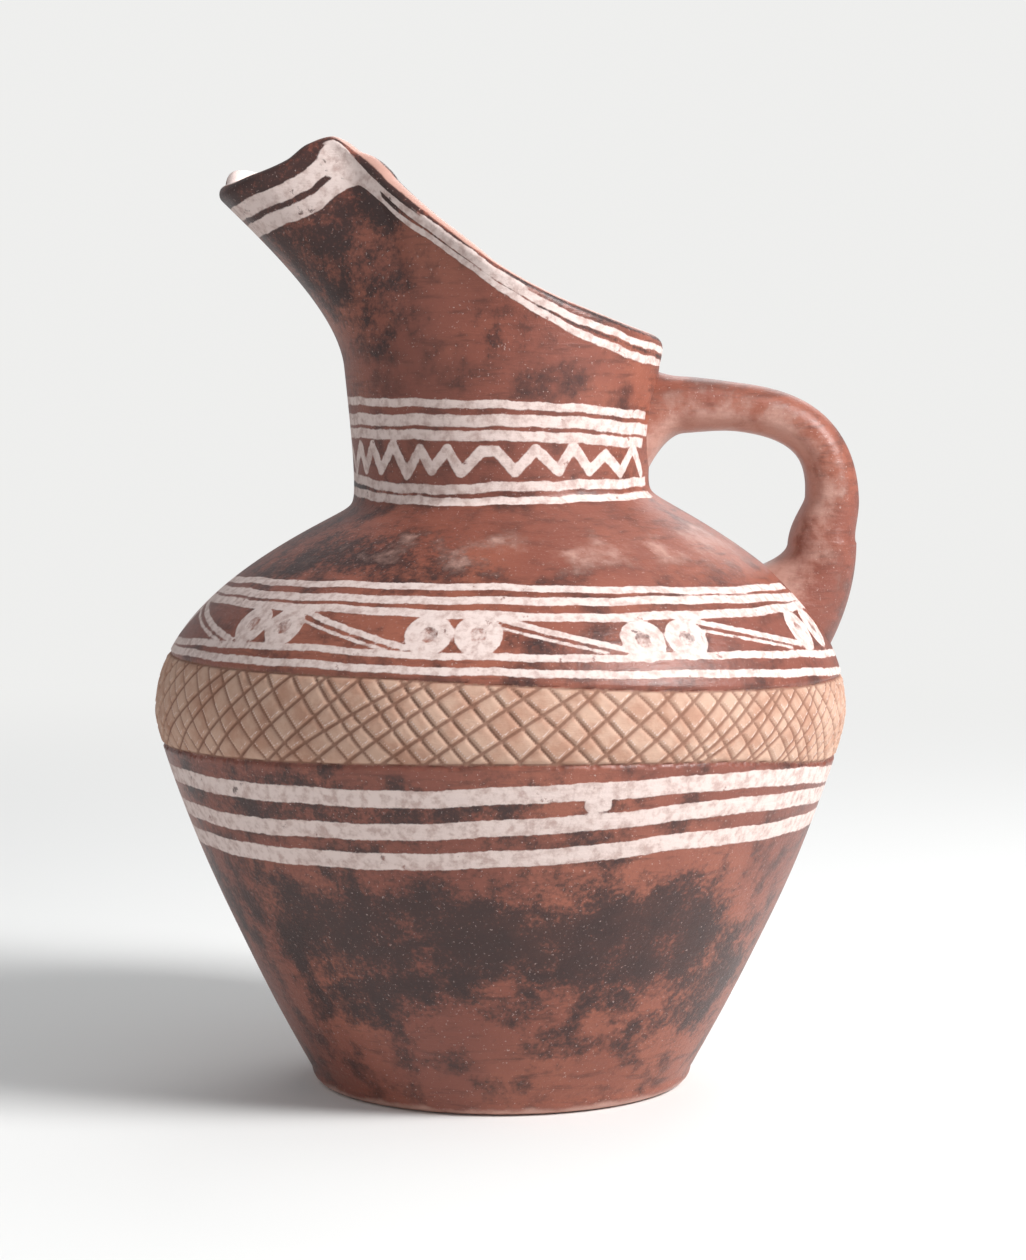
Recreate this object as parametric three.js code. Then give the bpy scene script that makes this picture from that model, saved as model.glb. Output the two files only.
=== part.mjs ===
// A hand-built pouring jug of fired clay, with a cut-away beak spout and one handle.
// It is made of the pieces that the potter formed apart and luted together: base, walls, neck,
// spout, handle and the two wads of clay that hold the handle.
// Millimetres, +Z up. The origin is the middle of the underside, the spout points to -X and the
// handle stands at +X. An azimuth of zero is the handle's side.

import * as THREE from 'three';

// Body
const BASE_THICKNESS = 9;
const CONTACT_RADIUS = 44.6;
const FOOT_RADIUS = 47.2;
const BELLY_RADIUS = 88.2;
const BELLY_HEIGHT = 95.5;
const ROOT_HEIGHT = 149.2;
const ROOT_RISE = 1.8;
const WALL = 6;

// Neck
const NECK_RADIUS = 37.4;
const NECK_FLARE = 2.9;
const NECK_TOP = 183;
const NECK_FILLET = 1.6;

// Heights of the level seams between the body's pieces
const BAND_BOTTOM = 80;
const BAND_TOP = 113;
const NECK_SEAM = 153;

// How full the two body curves are: 1 is a straight cone, more is rounder
const LOWER_FULLNESS = 1.28;
const SHOULDER_FULLNESS = 2.2;
const FLARE_FULLNESS = 1.5;

// Spout: the wall stands RIM_FLARE outside the neck's top at the back, and is drawn forward to the tip
const RIM_FLARE = 0.6;
const TIP_REACH = 72.5;
const TIP_HEIGHT = 226.3;
const EAR_HEIGHT = 240;
const BACK_HEIGHT = 190;
const MOUTH_HALF_WIDTH = 16.5;
const LIP_THICKNESS = 5;
const TIP_ANGLE = 44;

// One side of the tip's lip curls up a little further, as the potter's finger left it
const CURL_AZIMUTH = 161;
const CURL_SPREAD = 8;
const CURL_LIFT = 4.5;

// Handle: its middle line runs level from the upper wad, turns down and ends on the lower wad
const HANDLE_START = 47;
const HANDLE_HEIGHT = 173.4;
const HANDLE_REACH = 84.2;
const HANDLE_TURN = 149.5;
const HANDLE_END_REACH = 81.9;
const HANDLE_END = 138;
const HANDLE_THICKNESS = 12.4;
const HANDLE_WIDTH = 18.5;

// Wads of clay at the handle's roots
const UPPER_WAD_HEIGHT = 25;
const UPPER_WAD_WIDTH = 23;
const UPPER_WAD_MIDDLE = 169.2;
const LOWER_WAD_HEIGHT = 20.5;
const LOWER_WAD_WIDTH = 26;
const LOWER_WAD_MIDDLE = 122.3;
const LUTING_GAP = 0.3;

// How finely round shapes are cut
const SIDES = 60;
const HANDLE_SIDES = 16;
const HANDLE_STEPS = 22;

const degrees = (angle) => (angle * Math.PI) / 180;

const SLIP_RED = { color: 0x8a4431, roughness: 0.62, metalness: 0 };
const SLIP_DARK = { color: 0x5d3329, roughness: 0.6, metalness: 0 };
const BUFF_CLAY = { color: 0xc99c78, roughness: 0.85, metalness: 0 };
const PALE_CLAY = { color: 0xb5725a, roughness: 0.7, metalness: 0 };

const outerSkin = {
  foot: FOOT_RADIUS,
  belly: BELLY_RADIUS,
  neck: NECK_RADIUS,
  root: ROOT_HEIGHT,
};
const innerSkin = {
  foot: FOOT_RADIUS - WALL,
  belly: BELLY_RADIUS - WALL,
  neck: NECK_RADIUS - WALL,
  root: ROOT_HEIGHT - WALL,
};

// Radius of the body or neck at an azimuth and height, on the outside or the inside.
function skinRadius(skin, azimuth, z) {
  if (z <= BELLY_HEIGHT) {
    const drop = (BELLY_HEIGHT - z) / BELLY_HEIGHT;
    return skin.belly - (skin.belly - skin.foot) * Math.pow(drop, LOWER_FULLNESS);
  }
  const root = skin.root + ROOT_RISE * Math.cos(azimuth);
  const climb = (z - BELLY_HEIGHT) / (root - BELLY_HEIGHT);
  const shoulder = skin.neck + (skin.belly - skin.neck) * (1 - Math.pow(climb, SHOULDER_FULLNESS));
  const up = Math.max(0, z - root) / (NECK_TOP - root);
  const neck = skin.neck + NECK_FLARE * Math.pow(up, FLARE_FULLNESS);
  const half = (shoulder - neck) / 2;
  return neck + half + Math.hypot(half, NECK_FILLET * climb);
}

// A smooth curve through rows of stations that never overshoots them. Each row starts with its
// place, and column says which of its values is wanted.
function smoothThrough(stations, column) {
  const at = stations.map((row) => row[0]);
  const value = stations.map((row) => row[column]);
  const last = at.length - 1;
  const slope = at.slice(1).map((end, i) => (value[i + 1] - value[i]) / (end - at[i]));
  const tangent = value.map((_, i) => {
    if (i === 0) return slope[0];
    if (i === last) return slope[last - 1];
    if (slope[i - 1] * slope[i] <= 0) return 0;
    return (2 * slope[i - 1] * slope[i]) / (slope[i - 1] + slope[i]);
  });
  return (place) => {
    let i = 0;
    while (i < last - 1 && place > at[i + 1]) i += 1;
    const span = at[i + 1] - at[i];
    const t = Math.min(1, Math.max(0, (place - at[i]) / span));
    const bend = t * (1 - t) * (1 - t) * tangent[i] - t * t * (1 - t) * tangent[i + 1];
    const step = t * t * (3 - 2 * t);
    return value[i] + (value[i + 1] - value[i]) * step + bend * span;
  };
}

// Heights from one seam to the next, both included.
function levels(from, to, count) {
  return Array.from({ length: count }, (_, i) => from + ((to - from) * i) / (count - 1));
}

// One level ring of points round the jug.
function skinRing(skin, z) {
  return Array.from({ length: SIDES }, (_, i) => {
    const azimuth = (2 * Math.PI * i) / SIDES;
    const radius = skinRadius(skin, azimuth, z);
    return new THREE.Vector3(radius * Math.cos(azimuth), radius * Math.sin(azimuth), z);
  });
}

// Joins rings of equal size into one closed body. With caps the first and last rings are closed by
// fans round their middles, and without them the last ring joins the first.
function loft(rings, capped) {
  const sides = rings[0].length;
  const positions = rings.flat().flatMap((p) => [p.x, p.y, p.z]);
  const index = [];
  const count = capped ? rings.length - 1 : rings.length;
  for (let k = 0; k < count; k += 1) {
    const low = k * sides;
    const high = ((k + 1) % rings.length) * sides;
    for (let i = 0; i < sides; i += 1) {
      const next = (i + 1) % sides;
      index.push(low + i, low + next, high + next);
      index.push(low + i, high + next, high + i);
    }
  }
  if (capped) {
    for (const ring of [0, rings.length - 1]) {
      const middle = new THREE.Vector3();
      rings[ring].forEach((p) => middle.add(p));
      middle.divideScalar(sides);
      const hub = positions.length / 3;
      positions.push(middle.x, middle.y, middle.z);
      for (let i = 0; i < sides; i += 1) {
        const here = ring * sides + i;
        const next = ring * sides + ((i + 1) % sides);
        if (ring === 0) index.push(hub, next, here);
        else index.push(hub, here, next);
      }
    }
  }
  const geometry = new THREE.BufferGeometry();
  geometry.setAttribute('position', new THREE.Float32BufferAttribute(positions, 3));
  geometry.setIndex(index);
  geometry.computeVertexNormals();
  return geometry;
}

// The flat disc that the walls stand on, with its rounded foot edge.
function baseDisc() {
  const edgeRise = FOOT_RADIUS - CONTACT_RADIUS + 1;
  const corner = skinRadius(outerSkin, 0, edgeRise);
  const edge = [0, 45, 90].map((angle) => {
    const turn = degrees(angle);
    const radius = CONTACT_RADIUS + (corner - CONTACT_RADIUS) * Math.sin(turn);
    const z = edgeRise * (1 - Math.cos(turn));
    return { radius, z };
  });
  edge.push({ radius: skinRadius(outerSkin, 0, BASE_THICKNESS), z: BASE_THICKNESS });
  const rings = edge.map(({ radius, z }) =>
    Array.from({ length: SIDES }, (_, i) => {
      const azimuth = (2 * Math.PI * i) / SIDES;
      return new THREE.Vector3(radius * Math.cos(azimuth), radius * Math.sin(azimuth), z);
    }),
  );
  return loft(rings, true);
}

// A ring of wall between two level seams.
function wallPiece(bottom, top, outerCount, innerCount) {
  const outer = levels(bottom, top, outerCount).map((z) => skinRing(outerSkin, z));
  const inner = levels(top, bottom, innerCount).map((z) => skinRing(innerSkin, z));
  return loft([...outer, ...inner], false);
}

// Spout stations round the neck: azimuth from the handle's side in degrees, how far forward the
// wall is drawn as a share of the tip's, its width as a share of the ring's, and the height of the
// lip's crest as a share of the way from the back of the rim to the ear.
const mouthShare = MOUTH_HALF_WIDTH / skinRadius(outerSkin, Math.PI, NECK_TOP);
const tipShare = (TIP_HEIGHT - BACK_HEIGHT) / (EAR_HEIGHT - BACK_HEIGHT);
const SPOUT_STATIONS = [
  [0, 0, 1, 0],
  [30, 0, 1, 0.045],
  [60, 0.01, 1, 0.153],
  [75, 0.025, 0.99, 0.24],
  [90, 0.07, 0.7 + 0.65 * mouthShare, 0.37],
  [105, 0.15, 0.45 + mouthShare, 0.555],
  [120, 0.29, 0.15 + 1.35 * mouthShare, 0.785],
  [126, 0.39, 0.02 + 1.38 * mouthShare, 0.91],
  [132, 0.49, 1.36 * mouthShare, 1],
  [138, 0.57, 1.48 * mouthShare, 0.87 + 0.13 * tipShare],
  [144, 0.65, 1.66 * mouthShare, 0.58 + 0.42 * tipShare],
  [156, 0.83, 2 * mouthShare, 0.25 + 0.75 * tipShare],
  [168, 0.95, 2.2 * mouthShare, 0.05 + 0.95 * tipShare],
  [180, 1, 2.3 * mouthShare, tipShare],
];
const forwardShare = smoothThrough(SPOUT_STATIONS, 1);
const widthShare = smoothThrough(SPOUT_STATIONS, 2);
const heightShare = smoothThrough(SPOUT_STATIONS, 3);

// The line that one point of the neck's top ring follows up to the lip.
function spoutLine(azimuth) {
  const turn = Math.abs(THREE.MathUtils.radToDeg(Math.atan2(Math.sin(azimuth), Math.cos(azimuth))));
  const ringRadius = skinRadius(outerSkin, azimuth, NECK_TOP);
  const outward = new THREE.Vector3(Math.cos(azimuth), Math.sin(azimuth), 0);
  const start = outward.clone().multiplyScalar(ringRadius).setZ(NECK_TOP);
  const forward = forwardShare(turn);
  const collar = ringRadius + RIM_FLARE;
  const lip = new THREE.Vector3(
    collar * outward.x - forward * (TIP_REACH - collar),
    collar * outward.y * widthShare(turn),
    BACK_HEIGHT + heightShare(turn) * (EAR_HEIGHT - BACK_HEIGHT),
  );
  const lean = degrees(90 - (90 - TIP_ANGLE) * Math.sqrt(forward));
  const along = new THREE.Vector3(-Math.cos(lean), 0, Math.sin(lean));
  const curl = Math.exp(-(((azimuth - degrees(CURL_AZIMUTH)) / degrees(CURL_SPREAD)) ** 2));
  lip.addScaledVector(along, CURL_LIFT * curl - LIP_THICKNESS / 2);
  const rise = lip.z - NECK_TOP;
  const flare = (NECK_FLARE * FLARE_FULLNESS) / (NECK_TOP - ROOT_HEIGHT);
  const leave = outward.clone().multiplyScalar(flare).setZ(1);
  const firstHandle = start.clone().addScaledVector(leave, rise * 0.3);
  const lastHandle = lip.clone().addScaledVector(along, -rise * 0.5);
  lastHandle.y += (start.y - lip.y) * 0.3;
  return new THREE.CubicBezierCurve3(start, firstHandle, lastHandle, lip);
}

// The beak: neck wall carried up and drawn forward, cut away at the back, with a rounded lip.
function spout() {
  const outerRows = 10;
  const lines = Array.from({ length: SIDES }, (_, i) => spoutLine((2 * Math.PI * i) / SIDES));
  const grid = Array.from({ length: outerRows }, (_, k) =>
    lines.map((line) => line.getPoint(k / (outerRows - 1))),
  );
  const inward = grid.map((ring, k) =>
    ring.map((point, i) => {
      const around = ring[(i + 1) % SIDES].clone().sub(ring[(i + SIDES - 1) % SIDES]);
      const up = grid[Math.min(k + 1, outerRows - 1)][i].clone().sub(grid[Math.max(k - 1, 0)][i]);
      if (k === 0) up.set(0, 0, 1);
      return up.cross(around).normalize();
    }),
  );
  const inner = grid.map((ring, k) =>
    ring.map((point, i) => {
      if (k === 0) {
        const azimuth = (2 * Math.PI * i) / SIDES;
        const radius = skinRadius(innerSkin, azimuth, NECK_TOP);
        return new THREE.Vector3(radius * Math.cos(azimuth), radius * Math.sin(azimuth), NECK_TOP);
      }
      const thickness = THREE.MathUtils.lerp(WALL, LIP_THICKNESS, k / (outerRows - 1));
      return point.clone().addScaledVector(inward[k][i], thickness);
    }),
  );
  const last = outerRows - 1;
  const lip = grid[last].map((point, i) => {
    const along = point.clone().sub(grid[last - 1][i]).normalize();
    return point
      .clone()
      .add(inner[last][i])
      .multiplyScalar(0.5)
      .addScaledVector(along, LIP_THICKNESS / 2);
  });
  const shoulders = [0.86, 0.14].map((share) =>
    grid[last].map((point, i) => {
      const along = point.clone().sub(grid[last - 1][i]).normalize();
      return point
        .clone()
        .lerp(inner[last][i], 1 - share)
        .addScaledVector(along, (LIP_THICKNESS / 2) * 0.7);
    }),
  );
  return loft([...grid, shoulders[0], lip, shoulders[1], ...inner.reverse()], false);
}

// The handle's middle line, level where it leaves the upper wad and upright at the lower one.
const topRun = new THREE.CubicBezierCurve3(
  new THREE.Vector3(HANDLE_START, 0, HANDLE_HEIGHT),
  new THREE.Vector3(THREE.MathUtils.lerp(HANDLE_START, HANDLE_REACH, 0.56), 0, HANDLE_HEIGHT),
  new THREE.Vector3(HANDLE_REACH, 0, THREE.MathUtils.lerp(HANDLE_HEIGHT, HANDLE_TURN, 0.14)),
  new THREE.Vector3(HANDLE_REACH, 0, HANDLE_TURN),
);
const downRun = new THREE.CubicBezierCurve3(
  new THREE.Vector3(HANDLE_REACH, 0, HANDLE_TURN),
  new THREE.Vector3(HANDLE_REACH, 0, THREE.MathUtils.lerp(HANDLE_TURN, HANDLE_END, 0.35)),
  new THREE.Vector3(HANDLE_END_REACH, 0, THREE.MathUtils.lerp(HANDLE_TURN, HANDLE_END, 0.65)),
  new THREE.Vector3(HANDLE_END_REACH, 0, HANDLE_END),
);

// Handle stations along its line: share of the way, thickness and width as shares of the middle's
const HANDLE_STATIONS = [
  [0, 1.16, 1.1],
  [0.18, 0.99, 1],
  [0.5, 0.98, 0.97],
  [0.78, 1.12, 1],
  [1, 1.4, 1.14],
];
const thicknessShare = smoothThrough(HANDLE_STATIONS, 1);
const widthAlong = smoothThrough(HANDLE_STATIONS, 2);

// A rounded strap section: middle, the direction of its thickness, and its two sizes.
function strapRing(middle, across, thickness, width) {
  return Array.from({ length: HANDLE_SIDES }, (_, i) => {
    const angle = (2 * Math.PI * i) / HANDLE_SIDES;
    const round = (value) => Math.sign(value) * Math.pow(Math.abs(value), 0.85);
    return middle
      .clone()
      .addScaledVector(across, (round(Math.cos(angle)) * thickness) / 2)
      .add(new THREE.Vector3(0, (round(Math.sin(angle)) * width) / 2, 0));
  });
}

function handleRing(share) {
  const topShare = 0.75;
  const onTop = share <= topShare;
  const line = onTop ? topRun : downRun;
  const t = onTop ? share / topShare : (share - topShare) / (1 - topShare);
  const middle = line.getPoint(t);
  const tangent = line.getTangent(t);
  const across = new THREE.Vector3(tangent.z, 0, -tangent.x);
  const thickness = HANDLE_THICKNESS * thicknessShare(share);
  const width = HANDLE_WIDTH * widthAlong(share);
  return strapRing(middle, across, thickness, width);
}

function handle() {
  const rings = levels(0, 1, HANDLE_STEPS + 1).map(handleRing);
  return loft(rings, true);
}

// The point of the outer wall at a height and a sideways place, a luting gap clear of it.
function onWall(y, z) {
  let x = skinRadius(outerSkin, 0, z);
  for (let i = 0; i < 6; i += 1) {
    const radius = skinRadius(outerSkin, Math.atan2(y, x), z) + LUTING_GAP;
    x = Math.sqrt(Math.max(0, radius * radius - y * y));
  }
  return new THREE.Vector3(x, y, z);
}

// A wad of clay that flares from one end of the handle to an oval patch on the wall.
function wad(handleEnd, middle, height, width, upIsFirst) {
  const patch = (share) =>
    Array.from({ length: HANDLE_SIDES }, (_, i) => {
      const angle = (2 * Math.PI * i) / HANDLE_SIDES;
      const rise = Math.cos(angle) * upIsFirst;
      return onWall((Math.sin(angle) * width * share) / 2, middle + (rise * height * share) / 2);
    });
  const foot = patch(1);
  const flare = [0.35, 0.65, 0.88].map((share) =>
    handleEnd.map((point, i) => {
      const spread = Math.pow(share, 1.8);
      const place = point.clone().lerp(foot[i], share);
      const straight = point.clone().lerp(foot[i], spread);
      return upIsFirst < 0
        ? new THREE.Vector3(place.x, straight.y, straight.z)
        : new THREE.Vector3(straight.x, straight.y, place.z);
    }),
  );
  return [handleEnd, ...flare, foot, patch(0.66), patch(0.33)];
}

function upperWad() {
  return loft(wad(handleRing(0), UPPER_WAD_MIDDLE, UPPER_WAD_HEIGHT, UPPER_WAD_WIDTH, -1).reverse(), true);
}

function lowerWad() {
  return loft(wad(handleRing(1), LOWER_WAD_MIDDLE, LOWER_WAD_HEIGHT, LOWER_WAD_WIDTH, 1), true);
}

const jug = new THREE.Group();

function addPiece(name, geometry, finish) {
  const mesh = new THREE.Mesh(geometry, new THREE.MeshStandardMaterial(finish));
  mesh.name = name;
  jug.add(mesh);
}

addPiece('base_disc', baseDisc(), SLIP_RED);
addPiece('lower_wall', wallPiece(BASE_THICKNESS, BAND_BOTTOM, 8, 6), SLIP_DARK);
addPiece('belly_band', wallPiece(BAND_BOTTOM, BAND_TOP, 6, 4), BUFF_CLAY);
addPiece('shoulder', wallPiece(BAND_TOP, NECK_SEAM, 11, 9), SLIP_RED);
addPiece('neck', wallPiece(NECK_SEAM, NECK_TOP, 5, 4), SLIP_RED);
addPiece('spout', spout(), SLIP_DARK);
addPiece('handle', handle(), PALE_CLAY);
addPiece('handle_upper_luting', upperWad(), PALE_CLAY);
addPiece('handle_lower_luting', lowerWad(), PALE_CLAY);

export default jug;
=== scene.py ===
"""The finish of a hand-built clay jug with a cut-away beak spout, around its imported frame.

Sizes in the classes are millimetres and azimuths are degrees, with zero at the handle's side and the
photographed side at -90. Meshes and the studio are in metres.
"""
import logging
import math
from dataclasses import dataclass, field
from enum import Enum
from typing import Sequence, Union

import bpy
import numpy as np
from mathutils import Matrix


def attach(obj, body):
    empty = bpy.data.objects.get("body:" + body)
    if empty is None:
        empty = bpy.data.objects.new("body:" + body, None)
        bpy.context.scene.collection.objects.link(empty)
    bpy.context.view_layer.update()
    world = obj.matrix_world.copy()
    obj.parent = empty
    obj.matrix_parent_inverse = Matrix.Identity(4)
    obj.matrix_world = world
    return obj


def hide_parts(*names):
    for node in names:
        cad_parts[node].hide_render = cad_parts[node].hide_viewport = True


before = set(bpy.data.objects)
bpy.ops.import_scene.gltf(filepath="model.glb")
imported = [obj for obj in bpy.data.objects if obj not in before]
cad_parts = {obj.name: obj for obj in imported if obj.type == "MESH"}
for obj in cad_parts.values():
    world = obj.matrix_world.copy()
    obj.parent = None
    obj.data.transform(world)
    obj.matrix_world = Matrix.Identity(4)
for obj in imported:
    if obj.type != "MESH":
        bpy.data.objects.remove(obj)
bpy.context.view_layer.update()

MM = 0.001
WELD_GAP = 2e-6
SMOOTH_ANGLE = 55
EDGE_REACH = 4.0
UNTOUCHED = -99.0
TINY = 1e-9
HALF = 0.5

log = logging.getLogger("jug")
Stations = Sequence[tuple[float, ...]]
Waves = Sequence[tuple[float, float, float]]
Place = tuple[float, float, float]
Colour = tuple[float, float, float, float]
Socket = bpy.types.NodeSocket
Source = Union[Socket, float, Colour]
Made = list[tuple[bpy.types.Object, str]]

BRUSH_WAVES: Waves = ((0.12, 11, 0), (0.1, 23, 40))
LIP_WAVES: Waves = ((0.15, 13, 0), (0.1, 29, 0))
WALL_WAVES: Waves = ((1.0, 3, 23), (0.7, 5, -11), (0.5, 9, 6))
WALL_WAVES_CREST = 2.2
WALL_WAVES_HEIGHT = 0.12


class Mark(Enum):
    """Names of the surface attributes that the finish reads."""

    PAINT = "paint"
    BARE = "bare"
    CLOUD = "cloud"
    INSIDE = "inside"
    CUT = "cut"
    WEAR_AND_SHEEN = "worn"


class Operation(Enum):
    """The ways in which the finish joins two values."""

    ADD = "ADD"
    SUBTRACT = "SUBTRACT"
    MULTIPLY = "MULTIPLY"
    MAXIMUM = "MAXIMUM"


class Grip(Enum):
    """How the strap meets a wad: level, running into it, or upright, coming down on it."""

    LEVEL = -1
    UPRIGHT = 1


Marks = dict[Mark, np.ndarray]


def through(stations: Stations, place: np.ndarray, column: int = 1) -> np.ndarray:
    """Reads a smooth curve through rows of stations that never overshoots them.

    Args:
        stations: rows that start with their place.
        place: places to read.
        column: which value of each row is wanted.

    Returns:
        The value at each place.
    """
    at = np.array([row[0] for row in stations], float)
    value = np.array([row[column] for row in stations], float)
    slope = np.diff(value) / np.diff(at)
    tangent = np.concatenate([slope[:1], np.zeros(len(at) - 2), slope[-1:]])
    for i in range(1, len(at) - 1):
        if slope[i - 1] * slope[i] > 0:
            tangent[i] = 2 * slope[i - 1] * slope[i] / (slope[i - 1] + slope[i])
    i = np.clip(np.searchsorted(at, place) - 1, 0, len(at) - 2)
    span = at[i + 1] - at[i]
    t = np.clip((place - at[i]) / span, 0, 1)
    bend = t * (1 - t) ** 2 * tangent[i] - t * t * (1 - t) * tangent[i + 1]
    return value[i] + (value[i + 1] - value[i]) * t * t * (3 - 2 * t) + bend * span


def bezier(t: Union[float, np.ndarray], knots: Sequence[np.ndarray]) -> np.ndarray:
    """Reads a cubic curve.

    Args:
        t: the way along it, from 0 to 1.
        knots: its start, its two handles and its end.

    Returns:
        The point or points at t.
    """
    start, first, last, end = knots
    return (1 - t) ** 3 * start + 3 * (1 - t) ** 2 * t * first + 3 * (1 - t) * t * t * last + t**3 * end


def bezier_way(t: float, knots: Sequence[np.ndarray]) -> np.ndarray:
    """Reads the direction of a cubic curve.

    Args:
        t: the way along it, from 0 to 1.
        knots: its start, its two handles and its end.

    Returns:
        A direction of length one.
    """
    start, first, last, end = knots
    way = 3 * (1 - t) ** 2 * (first - start) + 6 * (1 - t) * t * (last - first) + 3 * t * t * (end - last)
    return way / np.linalg.norm(way)


def between(first: float, last: float, share: float) -> float:
    """Gives the value at a share of the way from the first to the last."""
    return first + (last - first) * share


def ramp(value: np.ndarray, start: float, length: float) -> np.ndarray:
    """Climbs from 0 at the start to 1 after a length, which is negative where it climbs backwards."""
    return np.clip((value - start) / length, 0, 1)


def hump(value: np.ndarray, middle: float, reach: float) -> np.ndarray:
    """Gives a soft hump that is 1 at its middle and fades over its reach."""
    return np.exp(-(((value - middle) / reach) ** 2))


def turn_between(azimuth: np.ndarray, centre: float) -> np.ndarray:
    """Gives the turn in degrees from a centre to each azimuth, from -180 to 180."""
    return (azimuth - centre + 180) % 360 - 180


def waver(azimuth: np.ndarray, waves: Waves) -> np.ndarray:
    """Gives how far a line drawn by hand round the jug strays.

    Args:
        azimuth: azimuths in degrees.
        waves: (height in millimetres, waves in a turn, start in degrees) of each wave.

    Returns:
        The stray in millimetres.
    """
    return sum(height * np.sin(np.radians(azimuth * count + start)) for height, count, start in waves)


def hand_wobble(azimuth: np.ndarray, z: np.ndarray) -> np.ndarray:
    """Gives the slight unevenness of a hand-built wall, never outwards.

    Args:
        azimuth: azimuths in degrees.
        z: heights.

    Returns:
        What it adds to the radius, in millimetres. Each row of WALL_WAVES gives a wave's share, its
        waves in a turn and its height for one radian.
    """
    angle = np.radians(azimuth)
    waves = sum(share * np.sin(count * angle + z / height) for share, count, height in WALL_WAVES)
    return WALL_WAVES_HEIGHT * (waves - WALL_WAVES_CREST)


def ring(azimuth: np.ndarray, radius: np.ndarray, z: np.ndarray) -> np.ndarray:
    """Places points at azimuths in degrees, radii and heights."""
    angle = np.radians(azimuth)
    return np.stack([radius * np.cos(angle), radius * np.sin(angle), z], -1)


def level_ring(azimuth: np.ndarray, radius: float, z: float) -> np.ndarray:
    """Places points on one level circle."""
    return ring(azimuth, np.full(azimuth.shape, radius), np.full(azimuth.shape, z))


def shaped_grid(name: str, points: np.ndarray, marks: Marks) -> bpy.types.Object:
    """Shapes a primitive grid into one closed surface.

    Args:
        name: the piece's name.
        points: rows by columns by three, in millimetres, whose joined edges repeat their points.
        marks: one value for each point and surface attribute.

    Returns:
        The new piece, with its faces pointing outwards.
    """
    rows, columns, _ = points.shape
    bpy.ops.object.select_all(action="DESELECT")
    bpy.ops.mesh.primitive_grid_add(x_subdivisions=columns - 1, y_subdivisions=rows - 1, size=1)
    piece = bpy.context.object
    piece.name = name
    piece.data.name = name
    if len(piece.data.vertices) != rows * columns:
        raise ValueError(f"{name}: the grid has {len(piece.data.vertices)} points")
    piece.data.vertices.foreach_set("co", (points * MM).astype(np.float32).ravel())
    for mark, value in marks.items():
        attribute = piece.data.attributes.new(mark.value, "FLOAT", "POINT")
        attribute.data.foreach_set("value", np.asarray(value, np.float32).ravel())
    bpy.ops.object.mode_set(mode="EDIT")
    bpy.ops.mesh.select_all(action="SELECT")
    bpy.ops.mesh.remove_doubles(threshold=WELD_GAP)
    bpy.ops.mesh.normals_make_consistent(inside=False)
    bpy.ops.object.mode_set(mode="OBJECT")
    bpy.ops.object.shade_smooth_by_angle(angle=math.radians(SMOOTH_ANGLE))
    while piece.data.uv_layers:
        piece.data.uv_layers.remove(piece.data.uv_layers[0])
    return piece


@dataclass(frozen=True)
class Skin:
    """Points on the outer wall, where the marks are laid.

    Attributes:
        azimuth: azimuths in degrees.
        z: heights.
        radius: the wall's radius there.
        stretch: length along the wall for one millimetre of height.
    """

    azimuth: np.ndarray
    z: np.ndarray
    radius: np.ndarray
    stretch: np.ndarray


@dataclass(frozen=True)
class Band:
    """A painted band round the jug, which may stop short of the handle.

    Attributes:
        heights: (turn from the handle, height) stations, alike on both sides of the jug.
        width: width of the brush stroke.
        stop: turn from the handle at which the stroke ends, 0 where it goes right round.
    """

    heights: Stations
    width: float
    stop: float = 0.0

    def cover(self, skin: Skin) -> np.ndarray:
        """Gives how far inside the stroke each point lies.

        Args:
            skin: points on the wall.

        Returns:
            Millimetres, negative outside.
        """
        turn = np.abs(turn_between(skin.azimuth, 0))
        wobble = waver(skin.azimuth, BRUSH_WAVES)
        across = self.width / 2 - np.abs(skin.z - through(self.heights, turn) - wobble) * skin.stretch
        return np.minimum(across, np.radians(turn - self.stop) * skin.radius)


@dataclass(frozen=True)
class Stroke:
    """A painted line through (azimuth, height) points."""

    points: Stations
    width: float

    def cover(self, skin: Skin) -> np.ndarray:
        """Gives how far inside the line each point lies.

        Args:
            skin: points on the wall.

        Returns:
            Millimetres, negative outside.
        """
        best = np.full(skin.azimuth.shape, UNTOUCHED)
        for (start_turn, start_z), (end_turn, end_z) in zip(self.points, self.points[1:]):
            along = np.radians(turn_between(skin.azimuth, start_turn)) * skin.radius
            up = (skin.z - start_z) * skin.stretch
            end_along = np.radians(end_turn - start_turn) * skin.radius
            end_up = (end_z - start_z) * skin.stretch
            length = end_along**2 + end_up**2 + TINY
            share = np.clip((along * end_along + up * end_up) / length, 0, 1)
            gap = np.hypot(along - share * end_along, up - share * end_up)
            best = np.maximum(best, self.width / 2 - gap)
        return best


@dataclass(frozen=True)
class Slant:
    """A painted line that slants down from one pair of discs to the next.

    Attributes:
        after: turn from the line before it, or from the disc behind it, to its start.
        before: turn from its end to that line's end, or to the disc ahead.
        rise: height of its start over the discs' middles.
        fall: depth of its end under them.
        width: width of the brush stroke.
    """

    after: float
    before: float
    rise: float
    fall: float
    width: float


@dataclass(frozen=True)
class Hatching:
    """One of the two sets of slanting cuts that cross in the lattice.

    Attributes:
        slope: climb for one millimetre round the jug.
        spacing: usual way from cut to cut, round the jug.
        depth: share of the full depth of a groove.
        crowding: share of the spacing in the crowded stretch.
    """

    slope: float
    spacing: float
    depth: float
    crowding: float


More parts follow.
